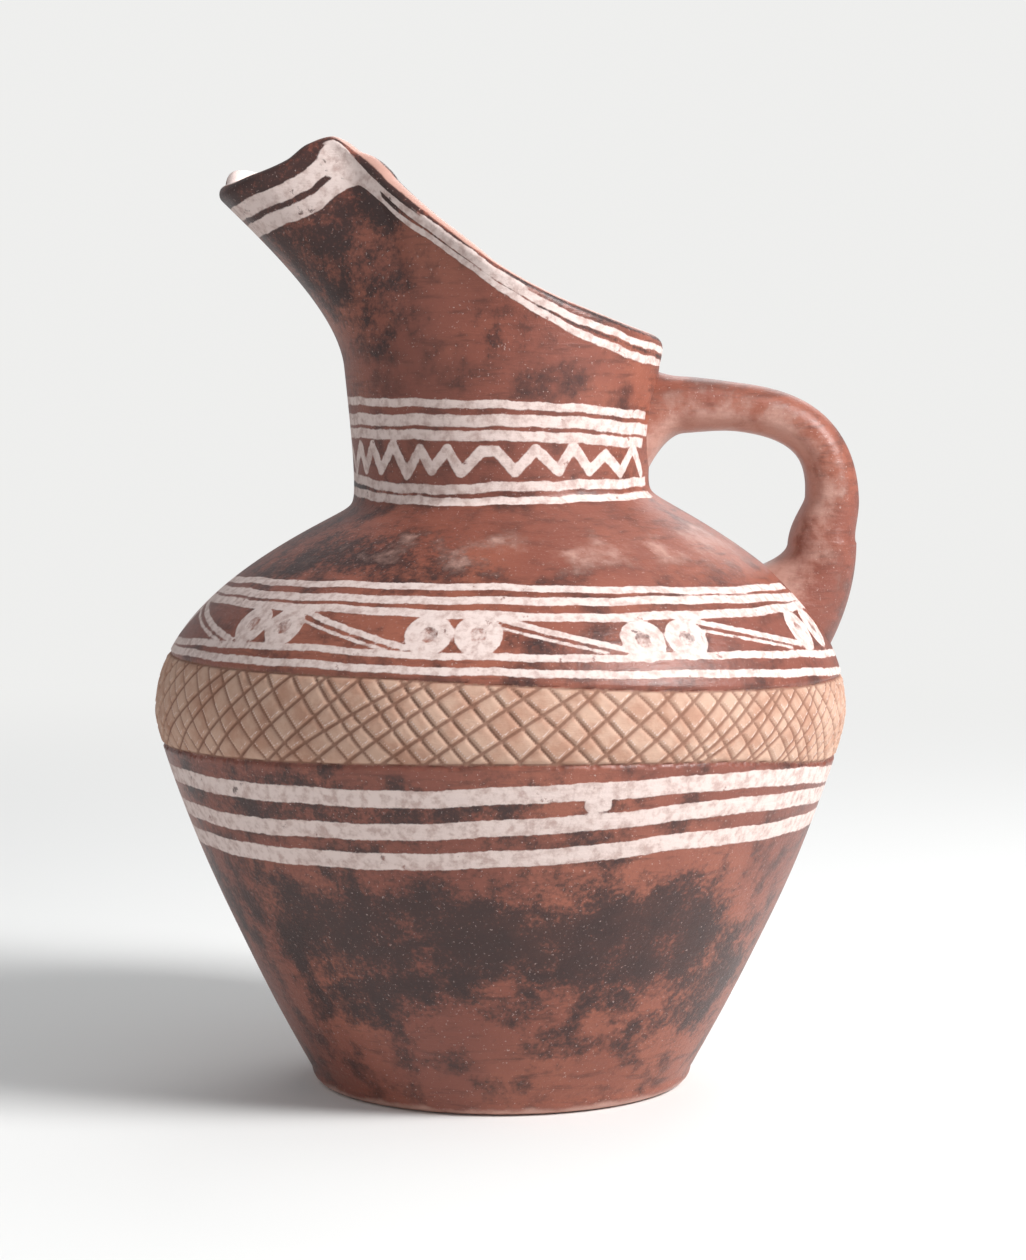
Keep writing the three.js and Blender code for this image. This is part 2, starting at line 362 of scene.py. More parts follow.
@dataclass
class Decoration:
    """Every painted band, stroke and disc, and the incised lattice.

    Attributes:
        disc_pairs: azimuth and height of the middle of each pair of discs.
        disc_spread: turn from a pair's middle to each of its discs.
        eye_paint: depth of the thin paint inside a disc's eye.
        handle_clear: turn on each side of the handle without slanting lines.
        lattice_top: (turn from the handle, height) stations of the lattice's upper edge.
        lattice_bottom: the same for its lower edge.
        lean_range: share of its slope that a cut gets.
        cut_reach: turn on each side of its middle over which a cut runs.
        bow: how far a cut bends to and fro.
        over_top: how far the cuts run over the upper edge.
    """

    bands: tuple[Band, ...] = (
        Band(((0, 169.6), (27, 170.8), (86, 173.4), (180, 174.4)), 2.0, 21),
        Band(((0, 166.2), (22, 167.0), (83, 169.6), (180, 169.7)), 2.9, 17),
        Band(((0, 163.2), (25, 163.8), (83, 165.8), (180, 166.3)), 2.5, 21),
        Band(((0, 154.2), (18, 154.0), (83, 153.6), (118, 152.7), (180, 155.6)), 2.3, 14),
        Band(((0, 150.6), (20, 150.6), (60, 150.3), (108, 149.7), (180, 151.8)), 2.2, 14),
        Band(((0, 127.5), (50, 129.3), (80, 130.6), (103, 131.0), (147, 130.3), (180, 129.0)), 2.3, 11),
        Band(((0, 124.8), (14, 125.4), (47, 127.1), (102, 128.0), (142, 127.6), (180, 126.8)), 2.6, 8),
        Band(((0, 123.0), (38, 123.7), (78, 124.3), (118, 125.4), (180, 124.8)), 2.5, 6),
        Band(((0, 110.6), (15, 111.5), (48, 114.5), (100, 115.8), (126, 116.5), (180, 113.6)), 1.9),
        Band(((0, 105.9), (9, 106.5), (49, 110.3), (100, 112.5), (131, 113.0), (180, 112.0)), 2.0),
        Band(((0, 79.8), (8, 80.4), (50, 84.8), (71, 84.6), (108, 82.4), (145, 81.7), (180, 81.5)), 4.4),
        Band(((0, 74.6), (8, 75.4), (49, 78.4), (68, 77.4), (108, 74.4), (143, 73.1), (180, 73.0)), 4.3),
        Band(((0, 69.6), (54, 70.8), (86, 68.3), (125, 66.4), (180, 65.7)), 4.4),
    )
    bands_meet: Stroke = Stroke(((-75.3, 80.9), (-73.3, 81.1)), 3.8)

    zigzag_width: float = 2.6
    front_zigzag: Stations = (
        (-157.5, 163.2), (-153.6, 157.3), (-147.3, 163.4), (-142.5, 157.2), (-134.4, 163.6), (-128.0, 156.3),
        (-121.1, 162.6), (-116.7, 157.4), (-110.0, 162.6), (-104.8, 156.9), (-97.0, 162.2), (-91.5, 162.2),
        (-84.7, 157.1), (-77.0, 162.6), (-68.0, 157.3), (-62.1, 163.4), (-54.2, 157.2), (-47.0, 161.2),
        (-38.0, 156.6), (-29.8, 162.8), (-20.5, 156.2),
    )
    back_zigzag_start: float = -157.5
    back_zigzag_step: float = 7.6
    back_zigzag_points: int = 25
    back_zigzag_heights: tuple[float, float] = (163.2, 157.0)

    disc_pairs: tuple[tuple[float, float], ...] = (
        (-20, 118.4), (-61, 118.9), (-98, 120.5), (-136, 121.0), (180, 120.6), (136, 121.0), (98, 120.5),
        (61, 118.9), (20, 118.4),
    )
    disc_spread: float = 4.3
    disc_radius: float = 5.8
    eye_radius: float = 2.2
    eye_paint: float = 0.04
    handle_clear: float = 30.0
    slants: tuple[Slant, ...] = (Slant(3.2, 3.5, 3.6, 3.6, 1.6), Slant(1.0, 3.5, 1.4, 4.2, 0.85))

    seed: int = 7
    lattice_top: Stations = (
        (0, 105), (31, 105.5), (57, 106.8), (90, 109.4), (114, 110.6), (180, 110.6),
    )
    lattice_bottom: Stations = (
        (0, 84.6), (17, 85.1), (57, 90.0), (90, 91.0), (121, 90.0), (145, 89.0), (180, 87.6),
    )
    hatchings: tuple[Hatching, ...] = (Hatching(-1.1, 6.6, 0.9, 1.0), Hatching(0.72, 9.5, 1.0, 0.6))
    crowded_from: float = -60.0
    crowded_to: float = 0.0
    lean_range: tuple[float, float] = (0.85, 1.18)
    spacing_range: tuple[float, float] = (0.8, 1.2)
    cut_radius: float = 88.0
    cut_level: float = 98.0
    cut_reach: float = 40.0
    bow: float = 0.5
    bow_level: float = 90.0
    bow_length: float = 7.0
    groove_width: float = 0.8
    groove_depth: float = 0.7
    groove_sharpness: float = 0.6
    edge_groove_width: float = 0.45
    over_top: float = 0.3
    under_bottom: float = 0.8
    burr_height: float = 0.16
    burr_width: float = 0.35
    least_groove: float = 0.03
    burr_limit: float = 0.04

    def strokes(self) -> list[Stroke]:
        """Lists the zigzag, the slanting lines and the place where two bands run together.

        Returns:
            The strokes that don't run right round the jug.
        """
        back = [
            (self.back_zigzag_start - self.back_zigzag_step * i, self.back_zigzag_heights[i % 2])
            for i in range(self.back_zigzag_points)
        ]
        lines = [Stroke(points, self.zigzag_width) for points in (self.front_zigzag, back)]
        lines.append(self.bands_meet)
        order = sorted(self.disc_pairs)
        order.append((order[0][0] + 360, order[0][1]))
        for (here, height), (ahead, _) in zip(order, order[1:]):
            if abs(here) < self.handle_clear and abs(ahead) < self.handle_clear:
                continue
            start = here + self.disc_spread
            stop = ahead - self.disc_spread
            for slant in self.slants:
                start += slant.after
                stop -= slant.before
                ends = ((start, height + slant.rise), (stop, height - slant.fall))
                lines.append(Stroke(ends, slant.width))
        return lines

    def paint(self, skin: Skin) -> np.ndarray:
        """Gives how deep inside a painted mark each point lies.

        Args:
            skin: points on the wall.

        Returns:
            Millimetres, positive inside the paint and negative outside.
        """
        best = np.full(skin.azimuth.shape, UNTOUCHED)
        for mark in [*self.bands, *self.strokes()]:
            best = np.maximum(best, mark.cover(skin))
        for centre, height in self.disc_pairs:
            for side in (-1, 1):
                away = turn_between(skin.azimuth, centre + side * self.disc_spread)
                gap = np.hypot(np.radians(away) * skin.radius, (skin.z - height) * skin.stretch)
                smudge = self.eye_paint + np.clip(gap - self.eye_radius, 0, EDGE_REACH)
                best = np.maximum(best, np.minimum(self.disc_radius - gap, smudge))
        return np.clip(best, -EDGE_REACH, EDGE_REACH)

    def bare(self, azimuth: np.ndarray, z: np.ndarray) -> np.ndarray:
        """Gives how far inside the band without slip each point lies.

        Args:
            azimuth: azimuths in degrees.
            z: heights.

        Returns:
            Millimetres, negative outside.
        """
        turn = np.abs(turn_between(azimuth, 0))
        inside = np.minimum(through(self.lattice_top, turn) - z, z - through(self.lattice_bottom, turn))
        return np.clip(inside, -EDGE_REACH, EDGE_REACH)

    def cut(self, azimuth: np.ndarray, z: np.ndarray, radius: np.ndarray) -> np.ndarray:
        """Gives the height of the incised lattice over the plain wall.

        Args:
            azimuth: azimuths in degrees.
            z: heights.
            radius: the wall's radius there.

        Returns:
            Millimetres, negative in a groove and slightly positive on the clay that it pushed up.
        """
        chance = np.random.default_rng(self.seed)
        turn = np.abs(turn_between(azimuth, 0))
        top = through(self.lattice_top, turn)
        bottom = through(self.lattice_bottom, turn)
        height = np.zeros(azimuth.shape)
        for edge in (top, bottom):
            height = np.minimum(height, -self.groove_depth * hump(z, edge, self.edge_groove_width))
        within = (z < top + self.over_top) & (z > bottom - self.under_bottom)
        for hatching in self.hatchings:
            place = -180.0
            while place < 180:
                lean = hatching.slope * chance.uniform(*self.lean_range)
                away = turn_between(azimuth, place)
                along = np.radians(away) * radius
                bow = self.bow * np.sin((z - self.bow_level) / self.bow_length + place)
                gap = (z - self.cut_level - lean * along - bow) / math.hypot(1, lean)
                full = -self.groove_depth * hatching.depth
                groove = full * hump(gap, 0, self.groove_width * self.groove_sharpness)
                burr = self.burr_height * hump(gap, self.groove_width, self.burr_width)
                near = within & (np.abs(away) < self.cut_reach)
                height = np.where(near & (groove < -self.least_groove), np.minimum(height, groove), height)
                height = np.where(near & (height > -self.burr_limit), np.maximum(height, burr), height)
                close = hatching.crowding if self.crowded_from < place < self.crowded_to else 1.0
                step = hatching.spacing * close * chance.uniform(*self.spacing_range)
                place += math.degrees(step / self.cut_radius)
        return height


@dataclass
class FireClouds:
    """Dark patches that the kiln left, and one broad patch that darkens the lower front of the body.

    Attributes:
        patches: (azimuth, height, reach in degrees, reach upwards, darkness) of each patch.
    """

    patches: Stations = (
        # The first patch darkens the lower front of the body, darker towards the bottom.
        (-90, 30, 120, 34, 0.34), (-112, 52, 26, 10, 0.75), (-78, 48, 24, 14, 0.6), (-118, 34, 16, 10, 0.5),
        (-54, 48, 16, 16, 0.75), (-30, 30, 18, 14, 0.6), (-150, 52, 30, 20, 0.5), (-120, 80, 48, 9, 0.75),
        (-162, 208, 36, 16, 0.8), (-150, 230, 34, 13, 0.9), (-124, 226, 16, 9, 0.8), (-138, 196, 14, 9, 0.45),
        (-95, 190, 20, 8, 0.3), (-120, 137, 30, 6, 0.65), (-150, 140, 26, 9, 0.5), (-165, 153, 30, 3, 0.9),
        (-90, 118, 30, 3, 0.3), (30, 60, 25, 15, 0.8), (100, 45, 30, 14, 0.8), (150, 130, 20, 8, 0.5),
        (80, 200, 25, 9, 0.5),
    )

    def depth(self, azimuth: np.ndarray, z: np.ndarray) -> np.ndarray:
        """Gives how dark the firing left each point.

        Args:
            azimuth: azimuths in degrees.
            z: heights.

        Returns:
            Darkness from 0 to 1.
        """
        total = np.zeros(azimuth.shape)
        for centre, height, wide, tall, strength in self.patches:
            far = (turn_between(azimuth, centre) / wide) ** 2 + ((z - height) / tall) ** 2
            total += strength * np.exp(-far)
        return np.clip(total, 0, 1)


@dataclass(frozen=True)
class Course:
    """One ring of the wall, from a level seam to the next.

    Attributes:
        name: the piece's name.
        node: the node that it stands for.
        rows: rows of points on the outside.
        columns: points round the jug.
        cut: whether the incised lattice is pressed into it.
    """

    name: str
    node: str
    rows: int
    columns: int
    cut: bool = False


@dataclass
class Body:
    """The base, the three rings of the body's wall and the neck.

    Attributes:
        foot_radius: radius of the wall's line at the table, before its edge is rounded.
        foot_edge_extra: how much higher than wide the rounded edge is.
        root_height: height at which the shoulder turns into the neck.
        root_rise: how much higher that is at the handle.
        lower_fullness: how round the wall is below the belly, 1 where it is straight.
        slope_step: height over which the wall's slope is read.
        sheen_most_at: azimuth at which the painted sheen on the shoulder is strongest.
    """

    base_thickness: float = 9.0
    contact_radius: float = 44.6
    foot_radius: float = 47.2
    foot_edge_extra: float = 1.0
    belly_radius: float = 88.2
    belly_height: float = 95.5
    band_bottom: float = 80.0
    band_top: float = 113.0
    root_height: float = 149.2
    root_rise: float = 1.8
    neck_seam: float = 153.0
    wall: float = 6.0
    neck_radius: float = 37.4
    neck_flare: float = 2.9
    neck_top: float = 183.0
    neck_fillet: float = 1.6
    lower_fullness: float = 1.28
    shoulder_fullness: float = 2.2
    flare_fullness: float = 1.5

    courses: tuple[Course, ...] = (
        Course("lower_body", "lower_wall", 110, 560),
        Course("lattice_band", "belly_band", 66, 1200, cut=True),
        Course("shoulder_dome", "shoulder", 120, 600),
        Course("neck_ring", "neck", 80, 480),
    )
    outer_rows_per_inner: int = 6
    least_inner_rows: int = 4
    base_columns: int = 360
    underside_shares: tuple[float, ...] = (0.0, 0.4, 0.8)
    foot_edge_points: int = 9
    foot_side_points: int = 8
    slope_step: float = 0.2

    # A band of paler clay round the shoulder is a painted sheen, strongest towards the lit front-right.
    sheen_height: float = 139.0
    sheen_reach: float = 7.0
    painted_sheen: float = 0.5
    sheen_most_at: float = -50.0
    sheen_and_wear_mean: float = 0.6
    sheen_and_wear_swing: float = 0.4
    worn_foot_height: float = 4.0

    decoration: Decoration = field(default_factory=Decoration)
    clouds: FireClouds = field(default_factory=FireClouds)

    def radius(self, azimuth: np.ndarray, z: np.ndarray, inset: float = 0.0) -> np.ndarray:
        """Gives the wall's radius.

        Args:
            azimuth: azimuths in degrees.
            z: heights.
            inset: how far inside the outer skin, the wall's thickness for the inner one.

        Returns:
            The radius at each point.
        """
        foot = self.foot_radius - inset
        belly = self.belly_radius - inset
        neck_radius = self.neck_radius - inset
        drop = np.clip((self.belly_height - z) / self.belly_height, 0, 1)
        low = belly - (belly - foot) * drop**self.lower_fullness
        root = self.root_height - inset + self.root_rise * np.cos(np.radians(azimuth))
        climb = np.clip((z - self.belly_height) / (root - self.belly_height), 0, None)
        shoulder = neck_radius + (belly - neck_radius) * (1 - climb**self.shoulder_fullness)
        up = np.clip(z - root, 0, None) / (self.neck_top - root)
        neck = neck_radius + self.neck_flare * up**self.flare_fullness
        half = (shoulder - neck) / 2
        return np.where(z <= self.belly_height, low, neck + half + np.hypot(half, self.neck_fillet * climb))

    def surface_marks(self, azimuth: np.ndarray, z: np.ndarray, inside: np.ndarray) -> Marks:
        """Works out every surface attribute of the body's wall.

        Args:
            azimuth: azimuths in degrees.
            z: heights.
            inside: 1 on the inner skin and 0 on the outer one.

        Returns:
            One value for each point and attribute.
        """
        step = self.slope_step
        slope = (self.radius(azimuth, z + step) - self.radius(azimuth, z - step)) / (2 * step)
        skin = Skin(azimuth, z, self.radius(azimuth, z), np.hypot(1, slope))
        hidden = inside > HALF
        # Painted sheen: a paler band round the shoulder, strongest on the side towards the light.
        worn = self.painted_sheen * hump(z, self.sheen_height, self.sheen_reach)
        around = self.sheen_and_wear_mean + self.sheen_and_wear_swing * np.cos(np.radians(azimuth - self.sheen_most_at))
        return {
            Mark.PAINT: np.where(hidden, -EDGE_REACH, self.decoration.paint(skin)),
            Mark.BARE: np.where(hidden, -EDGE_REACH, self.decoration.bare(azimuth, z)),
            Mark.CLOUD: self.clouds.depth(azimuth, z),
            Mark.INSIDE: inside,
            Mark.CUT: np.zeros(azimuth.shape),
            Mark.WEAR_AND_SHEEN: worn * around,
        }

    def wall_ring(self, course: Course, bottom: float, top: float) -> bpy.types.Object:
        """Builds one ring of wall between two level seams.

        Args:
            course: which ring it is.
            bottom: height of the lower seam.
            top: height of the upper seam.

        Returns:
            The ring, as one closed mesh.
        """
        inner_rows = max(self.least_inner_rows, course.rows // self.outer_rows_per_inner)
        outside = np.linspace(bottom, top, course.rows)
        heights = np.concatenate([outside, np.linspace(top, bottom, inner_rows), [bottom]])
        inside = np.concatenate([np.zeros(course.rows), np.ones(inner_rows), [0.0]])
        azimuth, z = np.meshgrid(np.linspace(-180, 180, course.columns + 1), heights)
        inner = np.repeat(inside[:, None], course.columns + 1, axis=1)
        outer_radius = self.radius(azimuth, z) + hand_wobble(azimuth, z)
        marks = self.surface_marks(azimuth, z, inner)
        if course.cut:
            lattice = self.decoration.cut(azimuth, z, outer_radius)
            lattice[inner > HALF] = 0
            outer_radius = outer_radius + lattice
            marks[Mark.CUT] = lattice
        radius = np.where(inner > HALF, self.radius(azimuth, z, self.wall), outer_radius)
        return shaped_grid(course.name, ring(azimuth, radius, z), marks)

    def base(self, name: str) -> bpy.types.Object:
        """Builds the disc that the jug stands on, with its rounded foot edge.

        Args:
            name: the piece's name.

        Returns:
            The disc, as one closed mesh.
        """
        edge_rise = self.foot_radius - self.contact_radius + self.foot_edge_extra
        corner = float(self.radius(np.array(0.0), np.array(edge_rise)))
        flat = [(self.contact_radius * share, 0.0) for share in self.underside_shares]
        edge = [
            (between(self.contact_radius, corner, math.sin(angle)), edge_rise * (1 - math.cos(angle)))
            for angle in np.radians(np.linspace(0, 90, self.foot_edge_points))
        ]
        side = [(None, z) for z in np.linspace(edge_rise, self.base_thickness, self.foot_side_points)[1:]]
        azimuth = np.linspace(-180, 180, self.base_columns + 1)
        rows = []
        for radius, z in [*flat, *edge, *side]:
            level = np.full(azimuth.shape, z)
            lift = min(1.0, z / edge_rise)
            wide = self.radius(azimuth, level) if radius is None else np.full(azimuth.shape, radius)
            rows.append(ring(azimuth, wide + hand_wobble(azimuth, level) * lift, level))
        floor = [
            level_ring(azimuth, self.foot_radius - self.wall, self.base_thickness),
            level_ring(azimuth, 0.0, self.base_thickness),
        ]
        points = np.array(rows + floor)
        inside = np.zeros(points.shape[:2])
        inside[-len(floor):] = 1
        marks = self.surface_marks(np.broadcast_to(azimuth, points.shape[:2]), points[..., 2], inside)
        marks[Mark.WEAR_AND_SHEEN] = np.clip(1 - points[..., 2] / self.worn_foot_height, 0, 1)
        return shaped_grid(name, points, marks)

    def build(self) -> Made:
        """Builds the base and the rings of wall.

        Returns:
            Each piece with the node that it stands for.
        """
        seams = (self.base_thickness, self.band_bottom, self.band_top, self.neck_seam, self.neck_top)
        made = [(self.base("foot_disc"), "base_disc")]
        for course, bottom, top in zip(self.courses, seams, seams[1:]):
            made.append((self.wall_ring(course, bottom, top), course.node))
        return made


@dataclass
class Spout:
    """The beak: the neck's wall carried up, drawn forward and cut away at the back.

    Attributes:
        ear_height: height of the lip's two highest points, beside the channel.
        back_height: height of the lip at the handle.
        tip_angle: climb of the tip's wall, in degrees from level.
        curl_turn: azimuth of the small curl beside the tip.
        leaving_share: how far the wall follows the neck, as a share of its rise.
        arriving_share: how far it follows its direction at the lip.
        side_pull: how much of the neck's width the wall keeps near the lip.
        settle_rate: how fast the inner surface leaves the neck's inner edge.
        upper_line: (turn from the handle, depth below the crest) of the upper painted line.
        cut_away_lines: (darkness, depth below the crest, reach) of the dark lines along the cut.
    """

    body: Body
    rim_flare: float = 0.6
    tip_reach: float = 72.5
    tip_height: float = 226.3
    ear_height: float = 240.0
    back_height: float = 190.0
    mouth_half_width: float = 16.5
    lip: float = 5.0
    tip_angle: float = 44.0
    curl_turn: float = 161.0
    curl_spread: float = 8.0
    curl_lift: float = 4.5
    leaving_share: float = 0.3
    arriving_share: float = 0.5
    side_pull: float = 0.3
    settle_rate: float = 8.0

    rows: int = 84
    columns: int = 480
    crest_points: int = 13
    inner_row_step: int = 3

    upper_line: Stations = (
        (0, 3.6), (49, 4.0), (73, 4.0), (93, 3.3), (110, 3.9), (119, 4.9), (128, 6.2), (133, 7.3), (145, 7.3),
        (180, 7.3),
    )
    upper_width: Stations = ((0, 1.6), (60, 1.9), (100, 3.0), (125, 3.0), (135, 4.4), (180, 4.4))
    lower_line: Stations = (
        (0, 7.0), (49, 7.6), (73, 6.8), (93, 6.1), (110, 7.3), (119, 9.6), (128, 11.8), (133, 13.0),
        (145, 13.2), (180, 13.2),
    )
    lower_width: Stations = ((0, 2.0), (100, 2.1), (122, 2.3), (136, 4.2), (180, 4.2))
    ear_paint_radius: float = 5.6
    ear_paint_turn: float = 131.0
    ear_paint_depth: float = 7.6
    ear_paint_degree: float = 0.7
    away_from_rim: float = 20.0

    inside_from_turn: float = 141.0
    cut_away_turn: float = 128.0
    cut_away_fade: float = 6.0
    cut_away_lines: Stations = ((0.9, 1.9, 0.5), (0.7, 5.5, 0.6))
    worn_start: float = 1.6
    worn_depth: float = 1.1
    worn_turn: float = 140.0
    wear_and_sheen_fade: float = 12.0
    worn_least: float = 0.15
    tip_soot: float = 0.95
    tip_soot_depth: float = 5.4
    tip_soot_fade: float = 0.6
    tip_soot_turn: float = 134.0
    tip_soot_turn_fade: float = 5.0
    # Painted highlight: the inner face of the tip's wall, which faces the light, is coloured pale.
    highlight_turn: float = 138.0
    highlight_turn_fade: float = 12.0
    highlight_reach: float = 48.0
    highlight_reach_fade: float = 6.0

    def stations(self) -> Stations:
        """Lists the stations of the lip's crest.

        Returns:
            Turn from the handle, forward share, width share and height share of each.
        """
        collar = float(self.body.radius(np.array(180.0), np.array(self.body.neck_top)))
        mouth = self.mouth_half_width / collar
        tip = (self.tip_height - self.back_height) / (self.ear_height - self.back_height)
        return (
            (0, 0, 1, 0), (30, 0, 1, 0.045), (60, 0.01, 1, 0.153), (75, 0.025, 0.99, 0.24),
            (90, 0.07, 0.7 + 0.65 * mouth, 0.37), (105, 0.15, 0.45 + mouth, 0.555),
            (120, 0.29, 0.15 + 1.35 * mouth, 0.785), (126, 0.39, 0.02 + 1.38 * mouth, 0.91),
            (132, 0.49, 1.36 * mouth, 1), (138, 0.57, 1.48 * mouth, 0.87 + 0.13 * tip),
            (144, 0.65, 1.66 * mouth, 0.58 + 0.42 * tip), (156, 0.83, 2 * mouth, 0.25 + 0.75 * tip),
            (168, 0.95, 2.2 * mouth, 0.05 + 0.95 * tip), (180, 1, 2.3 * mouth, tip),
        )

    def outer(self, azimuth: np.ndarray, share: np.ndarray) -> np.ndarray:
        """Gives the outer surface.

        Args:
            azimuth: azimuths of the neck's top ring, in degrees.
            share: the way from the neck to the lip.

        Returns:
            Points, rows by columns by three.
        """
        angle = np.radians(azimuth)
        turn = np.abs(turn_between(azimuth, 0))
        neck_top = self.body.neck_top
        collar = self.body.radius(azimuth, np.full(azimuth.shape, neck_top))
        outward = np.stack([np.cos(angle), np.sin(angle), np.zeros(angle.shape)], -1)
        start = outward * (collar + hand_wobble(azimuth, neck_top))[:, None]
        start[:, 2] = neck_top
        stations = self.stations()
        forward = through(stations, turn, 1)
        wide = collar + self.rim_flare
        lip = np.stack([
            wide * outward[:, 0] - forward * (self.tip_reach - wide),
            wide * outward[:, 1] * through(stations, turn, 2),
            self.back_height + through(stations, turn, 3) * (self.ear_height - self.back_height),
        ], -1)
        lean = np.radians(90 - (90 - self.tip_angle) * np.sqrt(forward))
        along = np.stack([-np.cos(lean), np.zeros(lean.shape), np.sin(lean)], -1)
        curl = hump(turn_between(azimuth, self.curl_turn), 0, self.curl_spread)
        lip = lip + along * (self.curl_lift * curl - self.lip / 2)[:, None]
        rise = (lip[:, 2] - neck_top)[:, None]
        flare = self.body.neck_flare * self.body.flare_fullness / (neck_top - self.body.root_height)
        leave = outward * flare + np.array([0, 0, 1.0])
        first = start + leave * rise * self.leaving_share
        last = lip - along * rise * self.arriving_share
        last[:, 1] += (start[:, 1] - lip[:, 1]) * self.side_pull
        return bezier(share[:, None, None], (start, first, last, lip))

    def inner(self, azimuth: np.ndarray, outer: np.ndarray) -> np.ndarray:
        """Gives the inner surface, which starts on the neck's inner edge.

        Args:
            azimuth: azimuth of each column.
            outer: the points of the outer surface.

        Returns:
            Points, rows by columns by three.
        """
        around = np.empty(outer.shape)
        around[:, 1:-1] = outer[:, 2:] - outer[:, :-2]
        around[:, 0] = outer[:, 1] - outer[:, -2]
        around[:, -1] = around[:, 0]
        inward = np.cross(np.gradient(outer, axis=0), around)
        inward /= np.linalg.norm(inward, axis=2, keepdims=True)
        share = np.linspace(0, 1, self.rows)[:, None, None]
        inner = outer + inward * (self.body.wall + (self.lip - self.body.wall) * share)
        low = np.full(azimuth.shape, self.body.neck_top)
        seat = ring(azimuth, self.body.radius(azimuth, low, self.body.wall), low)
        settle = np.clip(share * self.settle_rate, 0, 1)
        inner = seat[None] * (1 - settle) + inner * settle
        inner[..., 2] = np.maximum(inner[..., 2], self.body.neck_top)
        return inner

    def crest(self, outer: np.ndarray, inner: np.ndarray) -> np.ndarray:
        """Gives the rounded lip.

        Args:
            outer: the points of the outer surface.
            inner: the points of the inner surface.

        Returns:
            The rows between the two surfaces' last rows.
        """
        tangent = outer[-1] - outer[-2]
        tangent /= np.linalg.norm(tangent, axis=1, keepdims=True)
        middle = (outer[-1] + inner[-1]) / 2
        half = (outer[-1] - inner[-1]) / 2
        bend = np.radians(np.linspace(0, 180, self.crest_points))[1:-1]
        return np.array([middle + half * math.cos(a) + tangent * (self.lip / 2) * math.sin(a) for a in bend])

    def build(self) -> Made:
        """Builds the spout as one closed shell with a rounded lip.

        Returns:
            The piece with the node that it stands for.
        """
        azimuth = np.linspace(-180, 180, self.columns + 1)
        outer = self.outer(azimuth, np.linspace(0, 1, self.rows))
        outer[:, -1] = outer[:, 0]
        inner = self.inner(azimuth, outer)
        crest = self.crest(outer, inner)
        inner_rows = inner[::-self.inner_row_step]
        if not np.allclose(inner_rows[-1], inner[0]):
            inner_rows = np.concatenate([inner_rows, inner[:1]])
        points = np.concatenate([outer, crest, inner_rows, outer[:1]])
        marks = self.marks(azimuth, points, outer, len(crest))
        return [(shaped_grid("beak_spout", points, marks), "spout")]

    def rim_gap(self, outer: np.ndarray, crests: int, rows: int) -> np.ndarray:
        """Gives how far below the lip's crest each point lies, along the surface.

        Args:
            outer: the points of the outer surface.
            crests: rows on the rounded lip.
            rows: rows in all.

        Returns:
            Millimetres, and a far value on the inner surface, which carries no marks.
        """
        columns = outer.shape[1]
        steps = np.linalg.norm(np.diff(outer, axis=0), axis=2)
        below = np.zeros(outer.shape[:2])
        below[:-1] = np.cumsum(steps[::-1], axis=0)[::-1]
        below += self.lip / 2
        to_crest = np.abs(np.linspace(-1, 1, crests))[:, None] * self.lip / 2 + np.zeros((1, columns))
        rest = np.full((rows - len(outer) - crests, columns), self.away_from_rim)
        return np.concatenate([below, to_crest, rest])

    def paint(self, turn: np.ndarray, rim: np.ndarray) -> np.ndarray:
        """Gives how deep inside the two painted lines each point lies.

        Args:
            turn: turn from the handle, in degrees.
            rim: how far below the lip's crest.

        Returns:
            Millimetres, positive inside the paint and negative outside.
        """
        wobble = waver(turn, LIP_WAVES)
        paint = np.full(turn.shape, -EDGE_REACH)
        for line, width in ((self.upper_line, self.upper_width), (self.lower_line, self.lower_width)):
            stroke = through(width, turn) / 2 - np.abs(rim - through(line, turn) - wobble)
            paint = np.maximum(paint, stroke)
        across = (turn - self.ear_paint_turn) * self.ear_paint_degree
        ear = self.ear_paint_radius - np.hypot(across, rim - self.ear_paint_depth)
        return np.clip(np.maximum(paint, ear), -EDGE_REACH, EDGE_REACH)

    def soot(self, azimuth: np.ndarray, z: np.ndarray, turn: np.ndarray, rim: np.ndarray) -> np.ndarray:
        """Gives how dark each point is.

        Args:
            azimuth: azimuths in degrees.
            z: heights.
            turn: turn from the handle, in degrees.
            rim: how far below the lip's crest.

        Returns:
            Darkness from 0 to 1, with the dark lines between the painted ones and the dark tip.
        """
        lines = sum(strength * hump(rim, depth, reach) for strength, depth, reach in self.cut_away_lines)
        cut_away = ramp(turn, self.cut_away_turn, -self.cut_away_fade)
        soot = np.clip(self.body.clouds.depth(azimuth, z) + cut_away * lines, 0, 1)
        edge = self.tip_soot * ramp(rim, self.tip_soot_depth, -self.tip_soot_fade)
        return np.maximum(soot, edge * ramp(turn, self.tip_soot_turn, self.tip_soot_turn_fade))

    def marks(self, azimuth: np.ndarray, points: np.ndarray, outer: np.ndarray, crests: int) -> Marks:
        """Works out the spout's surface attributes.

        Args:
            azimuth: azimuth of each column.
            points: all points, outside first.
            outer: the points of the outer surface.
            crests: rows on the rounded lip.

        Returns:
            One value for each point and attribute.
        """
        shape = points.shape[:2]
        rim = self.rim_gap(outer, crests, shape[0])
        turn = np.broadcast_to(np.abs(azimuth), shape)
        inside = np.zeros(shape)
        inside[len(outer) + crests:-1] = 1
        inner_crest = slice(len(outer) + crests // 2, len(outer) + crests)
        inside[inner_crest] = turn[inner_crest] > self.inside_from_turn
        paint = self.paint(turn, rim)
        paint[inside > HALF] = -EDGE_REACH
        paint[-1] = -EDGE_REACH
        worn_round = np.maximum(ramp(turn, self.worn_turn, -self.wear_and_sheen_fade), self.worn_least)
